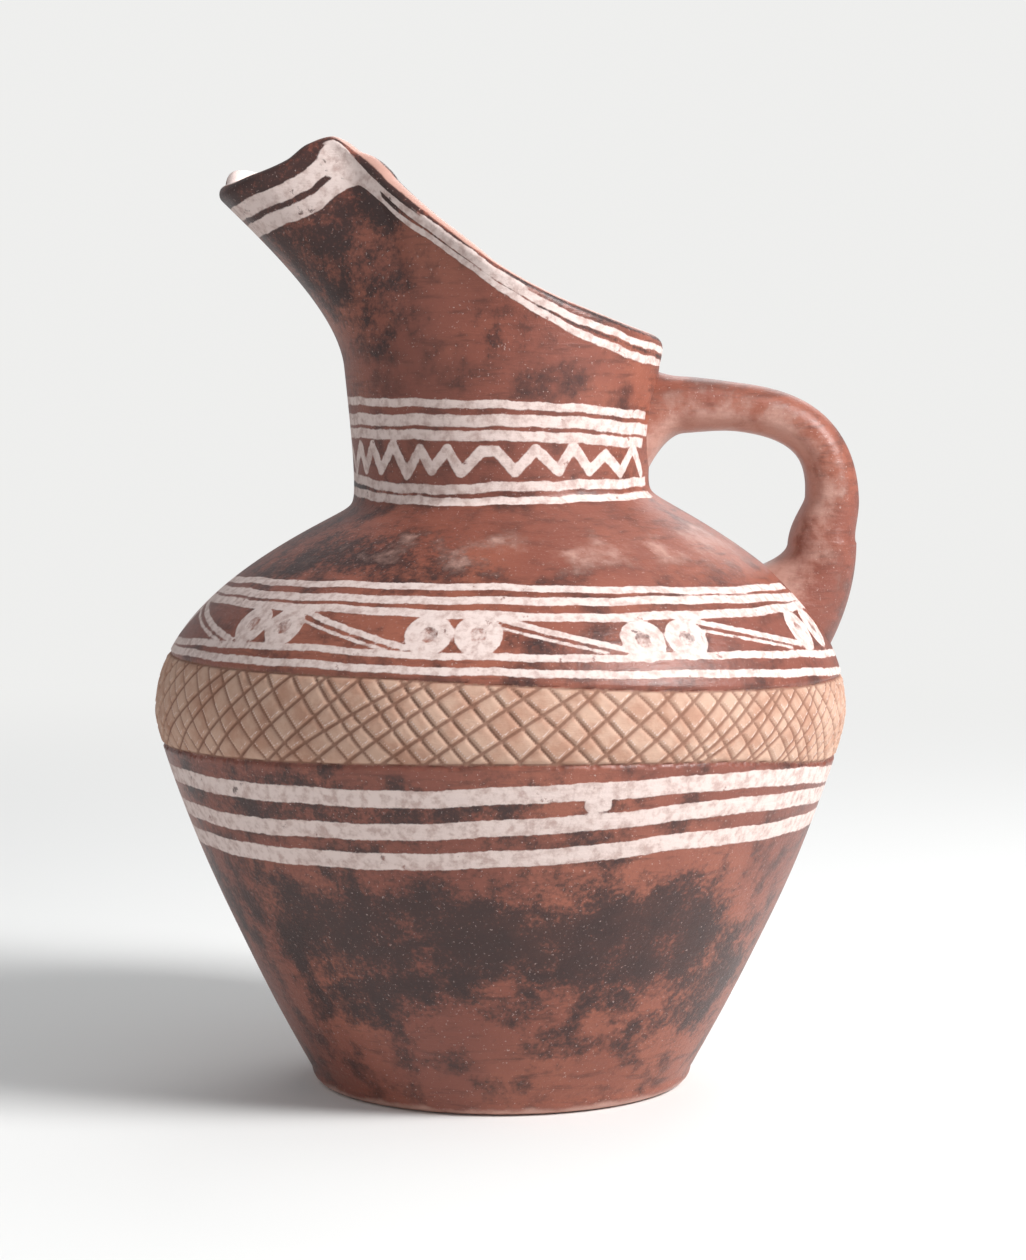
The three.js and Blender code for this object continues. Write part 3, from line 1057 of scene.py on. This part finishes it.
        # A painted highlight on the inner face near the tip lifts the inside attribute above 1.
        highlight_round = ramp(turn, self.highlight_turn, self.highlight_turn_fade)
        pale = highlight_round * ramp(points[..., 0], -self.highlight_reach, -self.highlight_reach_fade)
        return {
            Mark.PAINT: paint,
            Mark.BARE: np.full(shape, -EDGE_REACH),
            Mark.CLOUD: self.soot(np.broadcast_to(azimuth, shape), points[..., 2], turn, rim),
            Mark.INSIDE: inside * (1 + pale),
            Mark.CUT: np.zeros(shape),
            Mark.WEAR_AND_SHEEN: np.clip(self.worn_start - rim / self.worn_depth, 0, 1) * worn_round,
        }


@dataclass(frozen=True)
class Wad:
    """A wad of clay at one root of the handle.

    Attributes:
        tall: height of its foot on the wall.
        wide: width of its foot.
        middle: height of the middle of its foot.
        end: the end of the strap that it holds, 0 or 1.
        grip: how the strap meets it.
    """

    tall: float
    wide: float
    middle: float
    end: float
    grip: Grip


@dataclass
class Handle:
    """The rolled strap and the two wads of clay at its roots.

    Attributes:
        start: distance of the strap's start from the jug's axis.
        reach: distance of its upright part.
        turn_height: height at which its second curve starts.
        sink: how far inside the wall's skin a wad's foot lies.
        top_share: share of the way along the strap at which the second curve starts.
        sections: (share of the way, share of the thickness, share of the width) stations.
        squareness: 1 where the section is an oval, and less where it is squarer.
        ridge: height of the faint ridges along the strap, as a share of its thickness.
    """

    body: Body
    start: float = 47.0
    height: float = 173.4
    reach: float = 84.2
    turn_height: float = 149.5
    end_reach: float = 81.9
    end_height: float = 138.0
    thickness: float = 12.4
    width: float = 18.5
    upper_wad: Wad = Wad(25.0, 23.0, 169.2, 0, Grip.LEVEL)
    lower_wad: Wad = Wad(20.5, 26.0, 122.3, 1, Grip.UPRIGHT)
    sink: float = 0.5

    top_share: float = 0.75
    level_run: float = 0.56
    first_drop: float = 0.14
    straight_drop: float = 0.35
    last_drop: float = 0.65
    sections: Stations = ((0, 1.16, 1.1), (0.18, 0.99, 1), (0.5, 0.98, 0.97), (0.78, 1.12, 1), (1, 1.4, 1.14))
    squareness: float = 0.85
    ridge: float = 0.03
    ridge_count: float = 3.0
    ridge_twist: float = 4.0

    sides: int = 72
    steps: int = 110
    wad_steps: int = 26
    wad_sweep: float = 2.0
    foot_rounds: int = 6
    foot_shares: tuple[float, ...] = (0.6, 0.0)
    sheen_and_wear_mean: float = 0.5
    sheen_and_wear_swing: float = 0.3

    def line(self, share: float) -> tuple[np.ndarray, np.ndarray]:
        """Reads the strap's middle line.

        Args:
            share: the way along it, from the upper root to the lower one.

        Returns:
            The point there and the direction of the line.
        """
        if share <= self.top_share:
            t = share / self.top_share
            corners = (
                (self.start, self.height),
                (between(self.start, self.reach, self.level_run), self.height),
                (self.reach, between(self.height, self.turn_height, self.first_drop)),
                (self.reach, self.turn_height),
            )
        else:
            t = (share - self.top_share) / (1 - self.top_share)
            corners = (
                (self.reach, self.turn_height),
                (self.reach, between(self.turn_height, self.end_height, self.straight_drop)),
                (self.end_reach, between(self.turn_height, self.end_height, self.last_drop)),
                (self.end_reach, self.end_height),
            )
        knots = [np.array([x, 0.0, z]) for x, z in corners]
        return bezier(t, knots), bezier_way(t, knots)

    def blunt(self, value: np.ndarray) -> np.ndarray:
        """Makes a circle's sine or cosine slightly square."""
        return np.sign(value) * np.abs(value) ** self.squareness

    def section(self, share: float) -> np.ndarray:
        """Gives the ring of points round the strap.

        Args:
            share: the way along the strap.

        Returns:
            One point for each side, and the first one again.
        """
        point, way = self.line(share)
        across = np.array([way[2], 0, -way[0]])
        angle = np.linspace(0, 2 * np.pi, self.sides + 1)
        thick = self.thickness * float(through(self.sections, np.array(share), 1))
        wide = self.width * float(through(self.sections, np.array(share), 2))
        ridge = 1 + self.ridge * np.cos(self.ridge_count * angle + share * self.ridge_twist)
        points = point + across * (self.blunt(np.cos(angle)) * thick / 2 * ridge)[:, None]
        points[:, 1] += self.blunt(np.sin(angle)) * wide / 2
        return points

    def foot(self, wad: Wad, share: float) -> np.ndarray:
        """Gives an oval of points just inside the wall, which closes a wad.

        Args:
            wad: which wad it closes.
            share: share of the foot's full size.

        Returns:
            One point for each side, and the first one again.
        """
        angle = np.linspace(0, 2 * np.pi, self.sides + 1)
        y = np.sin(angle) * wad.wide * share / 2
        z = wad.middle + np.cos(angle) * wad.grip.value * wad.tall * share / 2
        x = self.body.radius(np.zeros(y.shape), z)
        for _ in range(self.foot_rounds):
            radius = self.body.radius(np.degrees(np.arctan2(y, x)), z) - self.sink
            x = np.sqrt(np.maximum(0, radius**2 - y**2))
        return np.stack([x, y, z], -1)

    def wad_rows(self, wad: Wad) -> np.ndarray:
        """Gives the rows of a wad, from the strap's end to its closed foot inside the wall.

        Args:
            wad: which wad it is.

        Returns:
            Points, rows by sides by three.
        """
        end = self.section(wad.end)
        foot = self.foot(wad, 1)
        rows = []
        for step in np.linspace(0, 1, self.wad_steps):
            place = end + (foot - end) * step
            spread = end + (foot - end) * step**self.wad_sweep
            if wad.grip is Grip.LEVEL:
                rows.append(np.stack([place[:, 0], spread[:, 1], spread[:, 2]], -1))
            else:
                rows.append(np.stack([spread[:, 0], spread[:, 1], place[:, 2]], -1))
        rows += [self.foot(wad, share) for share in self.foot_shares]
        return np.array(rows)

    def close(self, name: str, rows: np.ndarray) -> bpy.types.Object:
        """Closes rows of points into a piece, with the handle's surface attributes.

        Args:
            name: the piece's name.
            rows: points, rows by sides by three.

        Returns:
            The piece, as one closed mesh.
        """
        rows[:, -1] = rows[:, 0]
        first = np.repeat(rows[:1].mean(axis=1, keepdims=True), rows.shape[1], axis=1)
        last = np.repeat(rows[-1:].mean(axis=1, keepdims=True), rows.shape[1], axis=1)
        points = np.concatenate([first, rows, last])
        shape = points.shape[:2]
        angle = np.broadcast_to(np.linspace(0, 2 * np.pi, shape[1]), shape)
        marks = {mark: np.zeros(shape) for mark in Mark}
        marks[Mark.PAINT] = np.full(shape, -EDGE_REACH)
        marks[Mark.BARE] = np.full(shape, -EDGE_REACH)
        marks[Mark.WEAR_AND_SHEEN] = self.sheen_and_wear_mean + self.sheen_and_wear_swing * np.cos(angle)
        return shaped_grid(name, points, marks)

    def build(self) -> Made:
        """Builds the strap and its wads.

        Returns:
            Each piece with the node that it stands for.
        """
        strap = np.array([self.section(share) for share in np.linspace(0, 1, self.steps)])
        return [
            (self.close("handle_strap", strap), "handle"),
            (self.close("handle_upper_root", self.wad_rows(self.upper_wad)), "handle_upper_luting"),
            (self.close("handle_lower_root", self.wad_rows(self.lower_wad)), "handle_lower_luting"),
        ]


@dataclass(frozen=True)
class Grain:
    """A noise on the object's own coordinates.

    Attributes:
        scale: cells in a metre.
        detail: how many finer noises lie over it.
        stretch: how much closer the cells lie along each axis.
    """

    scale: float
    detail: float
    stretch: Place = (1, 1, 1)


@dataclass(frozen=True)
class Fade:
    """A smooth step.

    Attributes:
        low: value at which the step starts.
        high: value at which it ends.
        start: what it gives up to the low value.
        end: what it gives from the high value on.
    """

    low: float
    high: float
    start: float = 0.0
    end: float = 1.0


class NodeBench:
    """Lays out and joins the nodes of one material."""

    NOISE_ROUGHNESS = 0.62
    MIX_FACTOR = 0
    MIX_FIRST = 6
    MIX_SECOND = 7
    MIX_RESULT = 2

    def __init__(self, name: str) -> None:
        """Makes an empty material.

        Args:
            name: the material's name.
        """
        self.material = bpy.data.materials.new(name)
        self.material.use_nodes = True
        self.tree = self.material.node_tree
        self.tree.nodes.clear()
        self.place = self.tree.nodes.new("ShaderNodeTexCoord").outputs["Object"]
        self.grains: dict[Grain, Socket] = {}

    def join(self, source: Source, socket: Socket) -> None:
        """Joins an output to a socket, or sets a plain value on it.

        Args:
            source: the output or the value.
            socket: the input that it goes to.
        """
        if isinstance(source, bpy.types.NodeSocket):
            self.tree.links.new(source, socket)
        else:
            socket.default_value = source

    def mark(self, mark: Mark) -> Socket:
        """Reads a surface attribute.

        Args:
            mark: which attribute.

        Returns:
            Its value.
        """
        node = self.tree.nodes.new("ShaderNodeAttribute")
        node.attribute_name = mark.value
        return node.outputs["Fac"]

    def noise(self, grain: Grain) -> Socket:
        """Makes a noise, once for each grain.

        Args:
            grain: its size and detail.

        Returns:
            Its value, from 0 to 1.
        """
        if grain not in self.grains:
            mapping = self.tree.nodes.new("ShaderNodeMapping")
            mapping.inputs["Scale"].default_value = grain.stretch
            self.join(self.place, mapping.inputs["Vector"])
            node = self.tree.nodes.new("ShaderNodeTexNoise")
            node.inputs["Scale"].default_value = grain.scale
            node.inputs["Detail"].default_value = grain.detail
            node.inputs["Roughness"].default_value = self.NOISE_ROUGHNESS
            self.join(mapping.outputs["Vector"], node.inputs["Vector"])
            self.grains[grain] = node.outputs["Fac"]
        return self.grains[grain]

    def math(self, operation: Operation, first: Source, second: Source) -> Socket:
        """Joins two values.

        Args:
            operation: how they are joined.
            first: the first value.
            second: the second value.

        Returns:
            The result.
        """
        node = self.tree.nodes.new("ShaderNodeMath")
        node.operation = operation.value
        self.join(first, node.inputs[0])
        self.join(second, node.inputs[1])
        return node.outputs[0]

    def add(self, first: Source, second: Source) -> Socket:
        """Adds two values."""
        return self.math(Operation.ADD, first, second)

    def times(self, value: Source, amount: Source) -> Socket:
        """Multiplies a value by an amount."""
        return self.math(Operation.MULTIPLY, value, amount)

    def swing(self, grain: Grain, amount: float) -> Socket:
        """Swings a noise round zero by an amount."""
        return self.times(self.math(Operation.SUBTRACT, self.noise(grain), HALF), amount)

    def fade(self, value: Source, fade: Fade) -> Socket:
        """Turns a value into a smooth step.

        Args:
            value: the value.
            fade: the step's limits.

        Returns:
            The step.
        """
        node = self.tree.nodes.new("ShaderNodeMapRange")
        node.interpolation_type = "SMOOTHSTEP"
        self.join(value, node.inputs["Value"])
        node.inputs["From Min"].default_value = fade.low
        node.inputs["From Max"].default_value = fade.high
        node.inputs["To Min"].default_value = fade.start
        node.inputs["To Max"].default_value = fade.end
        return node.outputs["Result"]

    def mix(self, factor: Source, first: Source, second: Source) -> Socket:
        """Mixes two colours.

        Args:
            factor: share of the second colour.
            first: the first colour.
            second: the second colour.

        Returns:
            The mixed colour.
        """
        node = self.tree.nodes.new("ShaderNodeMix")
        node.data_type = "RGBA"
        self.join(factor, node.inputs[self.MIX_FACTOR])
        self.join(first, node.inputs[self.MIX_FIRST])
        self.join(second, node.inputs[self.MIX_SECOND])
        return node.outputs[self.MIX_RESULT]


def linear(value: float) -> float:
    """Turns one channel as seen on a screen, from 0 to 255, into a linear one."""
    return ((value / 255 + 0.055) / 1.055) ** 2.4


def srgb(red: float, green: float, blue: float) -> Colour:
    """Turns a colour as seen on a screen, from 0 to 255, into a linear one."""
    return (linear(red), linear(green), linear(blue), 1.0)


@dataclass(frozen=True)
class FiredClay:
    """Slip, paint, bare clay, soot and wear in one finish, with painted shade in the grooves, painted
    highlights on the burrs and on the spout's inner tip, and a painted sheen on the shoulder.
    """

    name: str = "painted_slip"
    red: Colour = srgb(124, 70, 57)
    orange: Colour = srgb(146, 86, 68)
    brown: Colour = srgb(84, 48, 40)
    soot: Colour = srgb(50, 34, 33)
    paint: Colour = srgb(216, 198, 192)
    paint_thin: Colour = srgb(184, 160, 153)
    buff: Colour = srgb(186, 153, 134)
    buff_warm: Colour = srgb(168, 128, 108)
    # Painted shade in the lattice's grooves.
    groove: Colour = srgb(108, 68, 52)
    # Paler clay for real wear, and for the painted sheen on the shoulder.
    pale_wear_and_sheen: Colour = srgb(196, 152, 138)
    inner_clay: Colour = srgb(150, 98, 78)
    # Painted highlight on the inner face of the spout's tip.
    inner_highlight: Colour = srgb(232, 212, 206)

    broad: Grain = Grain(16, 6)
    patchy: Grain = Grain(95, 10)
    wiped: Grain = Grain(90, 8, (1, 1, 6))
    fine: Grain = Grain(900, 5)
    grit: Grain = Grain(1500, 3)
    bare_clay: Grain = Grain(120, 6)
    brush_edge: Grain = Grain(430, 8)
    flaking: Grain = Grain(260, 9)
    thin_brush: Grain = Grain(420, 6)

    orange_fade: Fade = Fade(0.42, 0.68)
    brown_fade: Fade = Fade(0.45, 0.7)
    wiped_fade: Fade = Fade(0.5, 0.72, 0, 0.7)
    soot_fade: Fade = Fade(0.2, 0.95, 0, 0.9)
    scuff_fade: Fade = Fade(0.6, 0.74, 0, 0.4)
    grit_fade: Fade = Fade(0.64, 0.7, 0, 0.6)
    wear_and_sheen_fade: Fade = Fade(0.35, 0.8, 0, 0.85)
    warm_fade: Fade = Fade(0.4, 0.65)
    groove_shade_fade: Fade = Fade(0.15, 0.6, 0, 0.7)
    burr_highlight_fade: Fade = Fade(0.03, 0.14, 0, 0.6)
    bare_fade: Fade = Fade(-0.3, 0.3)
    paint_fade: Fade = Fade(-0.2, 0.2)
    flaking_fade: Fade = Fade(0.63, 0.7, 0, 0.75)
    thin_fade: Fade = Fade(0.42, 0.68)
    inside_fade: Fade = Fade(0.3, 0.7)
    tip_highlight_fade: Fade = Fade(1.1, 1.9)
    rough_fade: Fade = Fade(0, 1, 0.4, 0.86)

    soot_mottle: float = 2.6
    soot_speckle: float = 1.6
    worn_mottle: float = 1.4
    ragged_edge: float = 1.6
    ragged_paint: float = 1.1
    paint_cover: float = 0.96
    rough_grain: float = 0.2
    paint_height: float = 0.35
    fine_height: float = 0.5
    wiped_height: float = 1.1
    bump: float = 0.55
    bump_depth: float = 0.0004
    gloss: float = 0.42

    def slip_colour(self, bench: NodeBench) -> Socket:
        """Colours the slip, with its soot, its real wear and a painted sheen on the shoulder.

        Args:
            bench: the material's nodes.

        Returns:
            The colour.
        """
        patchy = bench.noise(self.patchy)
        fine = bench.noise(self.fine)
        slip = bench.mix(bench.fade(bench.noise(self.broad), self.orange_fade), self.red, self.orange)
        slip = bench.mix(bench.fade(patchy, self.brown_fade), slip, self.brown)
        slip = bench.mix(bench.fade(bench.noise(self.wiped), self.wiped_fade), slip, self.brown)
        blotches = bench.swing(self.patchy, self.soot_mottle)
        mottle = bench.add(blotches, bench.swing(self.fine, self.soot_speckle))
        smoke = bench.add(bench.mark(Mark.CLOUD), mottle)
        slip = bench.mix(bench.fade(smoke, self.soot_fade), slip, self.soot)
        slip = bench.mix(bench.fade(fine, self.scuff_fade), slip, self.orange)
        slip = bench.mix(bench.fade(bench.noise(self.grit), self.grit_fade), slip, self.paint_thin)
        # Paler where the foot, the lip and the handle are worn, and a painted sheen on the shoulder.
        worn = bench.add(bench.mark(Mark.WEAR_AND_SHEEN), bench.swing(self.patchy, self.worn_mottle))
        return bench.mix(bench.fade(worn, self.wear_and_sheen_fade), slip, self.pale_wear_and_sheen)

    def bare_colour(self, bench: NodeBench) -> Socket:
        """Colours the bare clay, with painted shade in its grooves and a painted highlight on the burrs
        beside them.

        Args:
            bench: the material's nodes.

        Returns:
            The colour.
        """
        buff = bench.mix(bench.fade(bench.noise(self.bare_clay), self.warm_fade), self.buff, self.buff_warm)
        depth = bench.times(bench.mark(Mark.CUT), -1.0)
        # Painted shade in the grooves and a painted highlight on the burrs beside them.
        buff = bench.mix(bench.fade(depth, self.groove_shade_fade), buff, self.groove)
        return bench.mix(bench.fade(bench.mark(Mark.CUT), self.burr_highlight_fade), buff, self.paint)

    def paint_cover_share(self, bench: NodeBench) -> Socket:
        """Gives how much paint covers each point, ragged at its edge and flaked off in places.

        Args:
            bench: the material's nodes.

        Returns:
            The share, from 0 to 1.
        """
        edge = bench.add(bench.mark(Mark.PAINT), bench.swing(self.brush_edge, self.ragged_paint))
        flaked = bench.fade(bench.noise(self.flaking), self.flaking_fade)
        kept = bench.math(Operation.SUBTRACT, self.paint_cover, flaked)
        return bench.times(bench.fade(edge, self.paint_fade), kept)

    def material(self) -> bpy.types.Material:
        """Builds the finish.

        Returns:
            The material, matt where it is painted or bare and slightly burnished elsewhere.
        """
        bench = NodeBench(self.name)
        edge = bench.add(bench.mark(Mark.BARE), bench.swing(self.fine, self.ragged_edge))
        bare = bench.fade(edge, self.bare_fade)
        ground = bench.mix(bare, self.slip_colour(bench), self.bare_colour(bench))
        laid = self.paint_cover_share(bench)
        thin = bench.fade(bench.noise(self.thin_brush), self.thin_fade)
        cream = bench.mix(thin, self.paint, self.paint_thin)
        painted = bench.mix(laid, ground, cream)
        inside = bench.mark(Mark.INSIDE)
        # Inside values above 1 give the painted highlight on the spout's inner tip.
        inner = bench.mix(bench.fade(inside, self.tip_highlight_fade), self.inner_clay, self.inner_highlight)
        colour = bench.mix(bench.fade(inside, self.inside_fade), painted, inner)
        matt = bench.fade(bench.math(Operation.MAXIMUM, laid, bare), self.rough_fade)
        rough = bench.add(matt, bench.swing(self.fine, self.rough_grain))
        fine = bench.times(bench.noise(self.fine), self.fine_height)
        wiped = bench.times(bench.noise(self.wiped), self.wiped_height)
        height = bench.add(bench.times(laid, self.paint_height), bench.add(fine, wiped))
        return self.surface(bench, colour, rough, height)

    def surface(self, bench: NodeBench, colour: Socket, rough: Socket, height: Socket) -> bpy.types.Material:
        """Ends the material in its shader.

        Args:
            bench: the material's nodes.
            colour: its base colour.
            rough: its roughness.
            height: height of its relief.

        Returns:
            The finished material.
        """
        shader = bench.tree.nodes.new("ShaderNodeBsdfPrincipled")
        shader.inputs["Specular IOR Level"].default_value = self.gloss
        bench.join(colour, shader.inputs["Base Color"])
        bench.join(rough, shader.inputs["Roughness"])
        bump = bench.tree.nodes.new("ShaderNodeBump")
        bump.inputs["Strength"].default_value = self.bump
        bump.inputs["Distance"].default_value = self.bump_depth
        bench.join(height, bump.inputs["Height"])
        bench.join(bump.outputs["Normal"], shader.inputs["Normal"])
        output = bench.tree.nodes.new("ShaderNodeOutputMaterial")
        bench.join(shader.outputs["BSDF"], output.inputs["Surface"])
        return bench.material


@dataclass(frozen=True)
class Lamp:
    """A soft square lamp.

    Attributes:
        name: its name.
        place: where it hangs.
        size: length of its side.
        watts: its strength.
    """

    name: str
    place: Place
    size: float
    watts: float


@dataclass
class Studio:
    """A pale floor, soft lamps and the camera at the photograph's viewing angle."""

    camera_place: Place = (0.003, -0.830, 0.1795)
    pitch: float = 4.40
    lens: float = 92.86
    frame_height: float = 36.0
    floor_size: float = 6.0
    floor_roughness: float = 0.9
    floor_colour: Colour = (0.78, 0.78, 0.77, 1.0)
    backdrop_colour: Colour = (0.86, 0.86, 0.85, 1.0)
    fade_start: float = 0.25
    fade_end: float = 1.1
    lamps: tuple[Lamp, ...] = (
        Lamp("key_lamp", (0.85, -0.5, 0.8), 0.4, 22),
        Lamp("fill_lamp", (-1.0, -0.9, 0.6), 1.2, 2),
        Lamp("back_lamp", (0.3, 1.2, 1.0), 1.0, 7),
    )
    lamp_target: Place = (0, 0, 0.12)
    room_colour: Colour = (0.86, 0.88, 0.9, 1)
    room_strength: float = 0.45

    def lay_floor(self) -> None:
        """Lays the floor, which fades into the backdrop's colour where the camera sees it far off."""
        bpy.ops.mesh.primitive_plane_add(size=self.floor_size)
        floor = bpy.context.object
        floor.name = "floor"
        pale = bpy.data.materials.new("pale_floor")
        pale.use_nodes = True
        nodes = pale.node_tree.nodes
        links = pale.node_tree.links
        shader = nodes["Principled BSDF"]
        shader.inputs["Base Color"].default_value = self.floor_colour
        shader.inputs["Roughness"].default_value = self.floor_roughness
        place = nodes.new("ShaderNodeTexCoord")
        far = nodes.new("ShaderNodeVectorMath")
        far.operation = "LENGTH"
        links.new(place.outputs["Object"], far.inputs[0])
        fade = nodes.new("ShaderNodeMapRange")
        fade.interpolation_type = "SMOOTHSTEP"
        fade.inputs["From Min"].default_value = self.fade_start
        fade.inputs["From Max"].default_value = self.fade_end
        links.new(far.outputs["Value"], fade.inputs["Value"])
        path = nodes.new("ShaderNodeLightPath")
        seen = nodes.new("ShaderNodeMath")
        seen.operation = "MULTIPLY"
        links.new(fade.outputs["Result"], seen.inputs[0])
        links.new(path.outputs["Is Camera Ray"], seen.inputs[1])
        glow = nodes.new("ShaderNodeEmission")
        glow.inputs["Color"].default_value = self.backdrop_colour
        blend = nodes.new("ShaderNodeMixShader")
        links.new(seen.outputs[0], blend.inputs[0])
        links.new(shader.outputs[0], blend.inputs[1])
        links.new(glow.outputs[0], blend.inputs[2])
        links.new(blend.outputs[0], nodes["Material Output"].inputs["Surface"])
        floor.data.materials.append(pale)

    def hang(self, lamp: Lamp) -> None:
        """Hangs one soft lamp that faces the middle of the jug.

        Args:
            lamp: which lamp.
        """
        bpy.ops.object.light_add(type="AREA", location=lamp.place)
        light = bpy.context.object
        light.name = lamp.name
        light.data.size = lamp.size
        light.data.energy = lamp.watts
        way = np.array(self.lamp_target) - np.array(lamp.place)
        flat = math.hypot(way[0], way[1])
        light.rotation_euler = (math.atan2(flat, -way[2]), 0, math.atan2(-way[0], way[1]))

    def fill_room(self) -> None:
        """Fills the world with soft light, behind a plain backdrop for the camera."""
        world = bpy.data.worlds.new("soft_room")
        bpy.context.scene.world = world
        world.use_nodes = True
        tree = world.node_tree
        room = tree.nodes["Background"]
        room.inputs["Color"].default_value = self.room_colour
        room.inputs["Strength"].default_value = self.room_strength
        seen = tree.nodes.new("ShaderNodeBackground")
        seen.inputs["Color"].default_value = self.backdrop_colour
        path = tree.nodes.new("ShaderNodeLightPath")
        either = tree.nodes.new("ShaderNodeMixShader")
        tree.links.new(path.outputs["Is Camera Ray"], either.inputs[0])
        tree.links.new(room.outputs[0], either.inputs[1])
        tree.links.new(seen.outputs[0], either.inputs[2])
        tree.links.new(either.outputs[0], tree.nodes["World Output"].inputs["Surface"])

    def place_camera(self) -> None:
        """Places the camera level with the shoulder, tilted slightly down."""
        camera = bpy.data.cameras.new("camera")
        camera.sensor_fit = "VERTICAL"
        camera.sensor_height = self.frame_height
        camera.lens = self.lens
        stand = bpy.data.objects.new("camera", camera)
        stand.location = self.camera_place
        stand.rotation_euler = (math.radians(90 - self.pitch), 0, 0)
        bpy.context.scene.collection.objects.link(stand)
        bpy.context.scene.camera = stand

    def build(self) -> None:
        """Builds the floor, the lamps, the world and the camera."""
        self.lay_floor()
        for lamp in self.lamps:
            self.hang(lamp)
        self.fill_room()
        self.place_camera()
        bpy.context.scene.view_settings.view_transform = "Standard"


def dress(piece: bpy.types.Object, node: str, finish: bpy.types.Material) -> None:
    """Gives a piece its finish and its body, and hides the node that it stands for.

    Args:
        piece: the finished piece.
        node: name of the node that it replaces.
        finish: its material.
    """
    piece.data.materials.clear()
    piece.data.materials.append(finish)
    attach(piece, "root")
    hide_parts(node)
    log.info("%s: %d faces", piece.name, len(piece.data.polygons))


def main() -> None:
    """Builds the jug's pieces in order, then the studio."""
    logging.basicConfig(level=logging.INFO, format="%(message)s")
    body = Body()
    finish = FiredClay().material()
    for piece, node in [*body.build(), *Spout(body).build(), *Handle(body).build()]:
        dress(piece, node, finish)
    Studio().build()


if __name__ == "__main__":
    main()
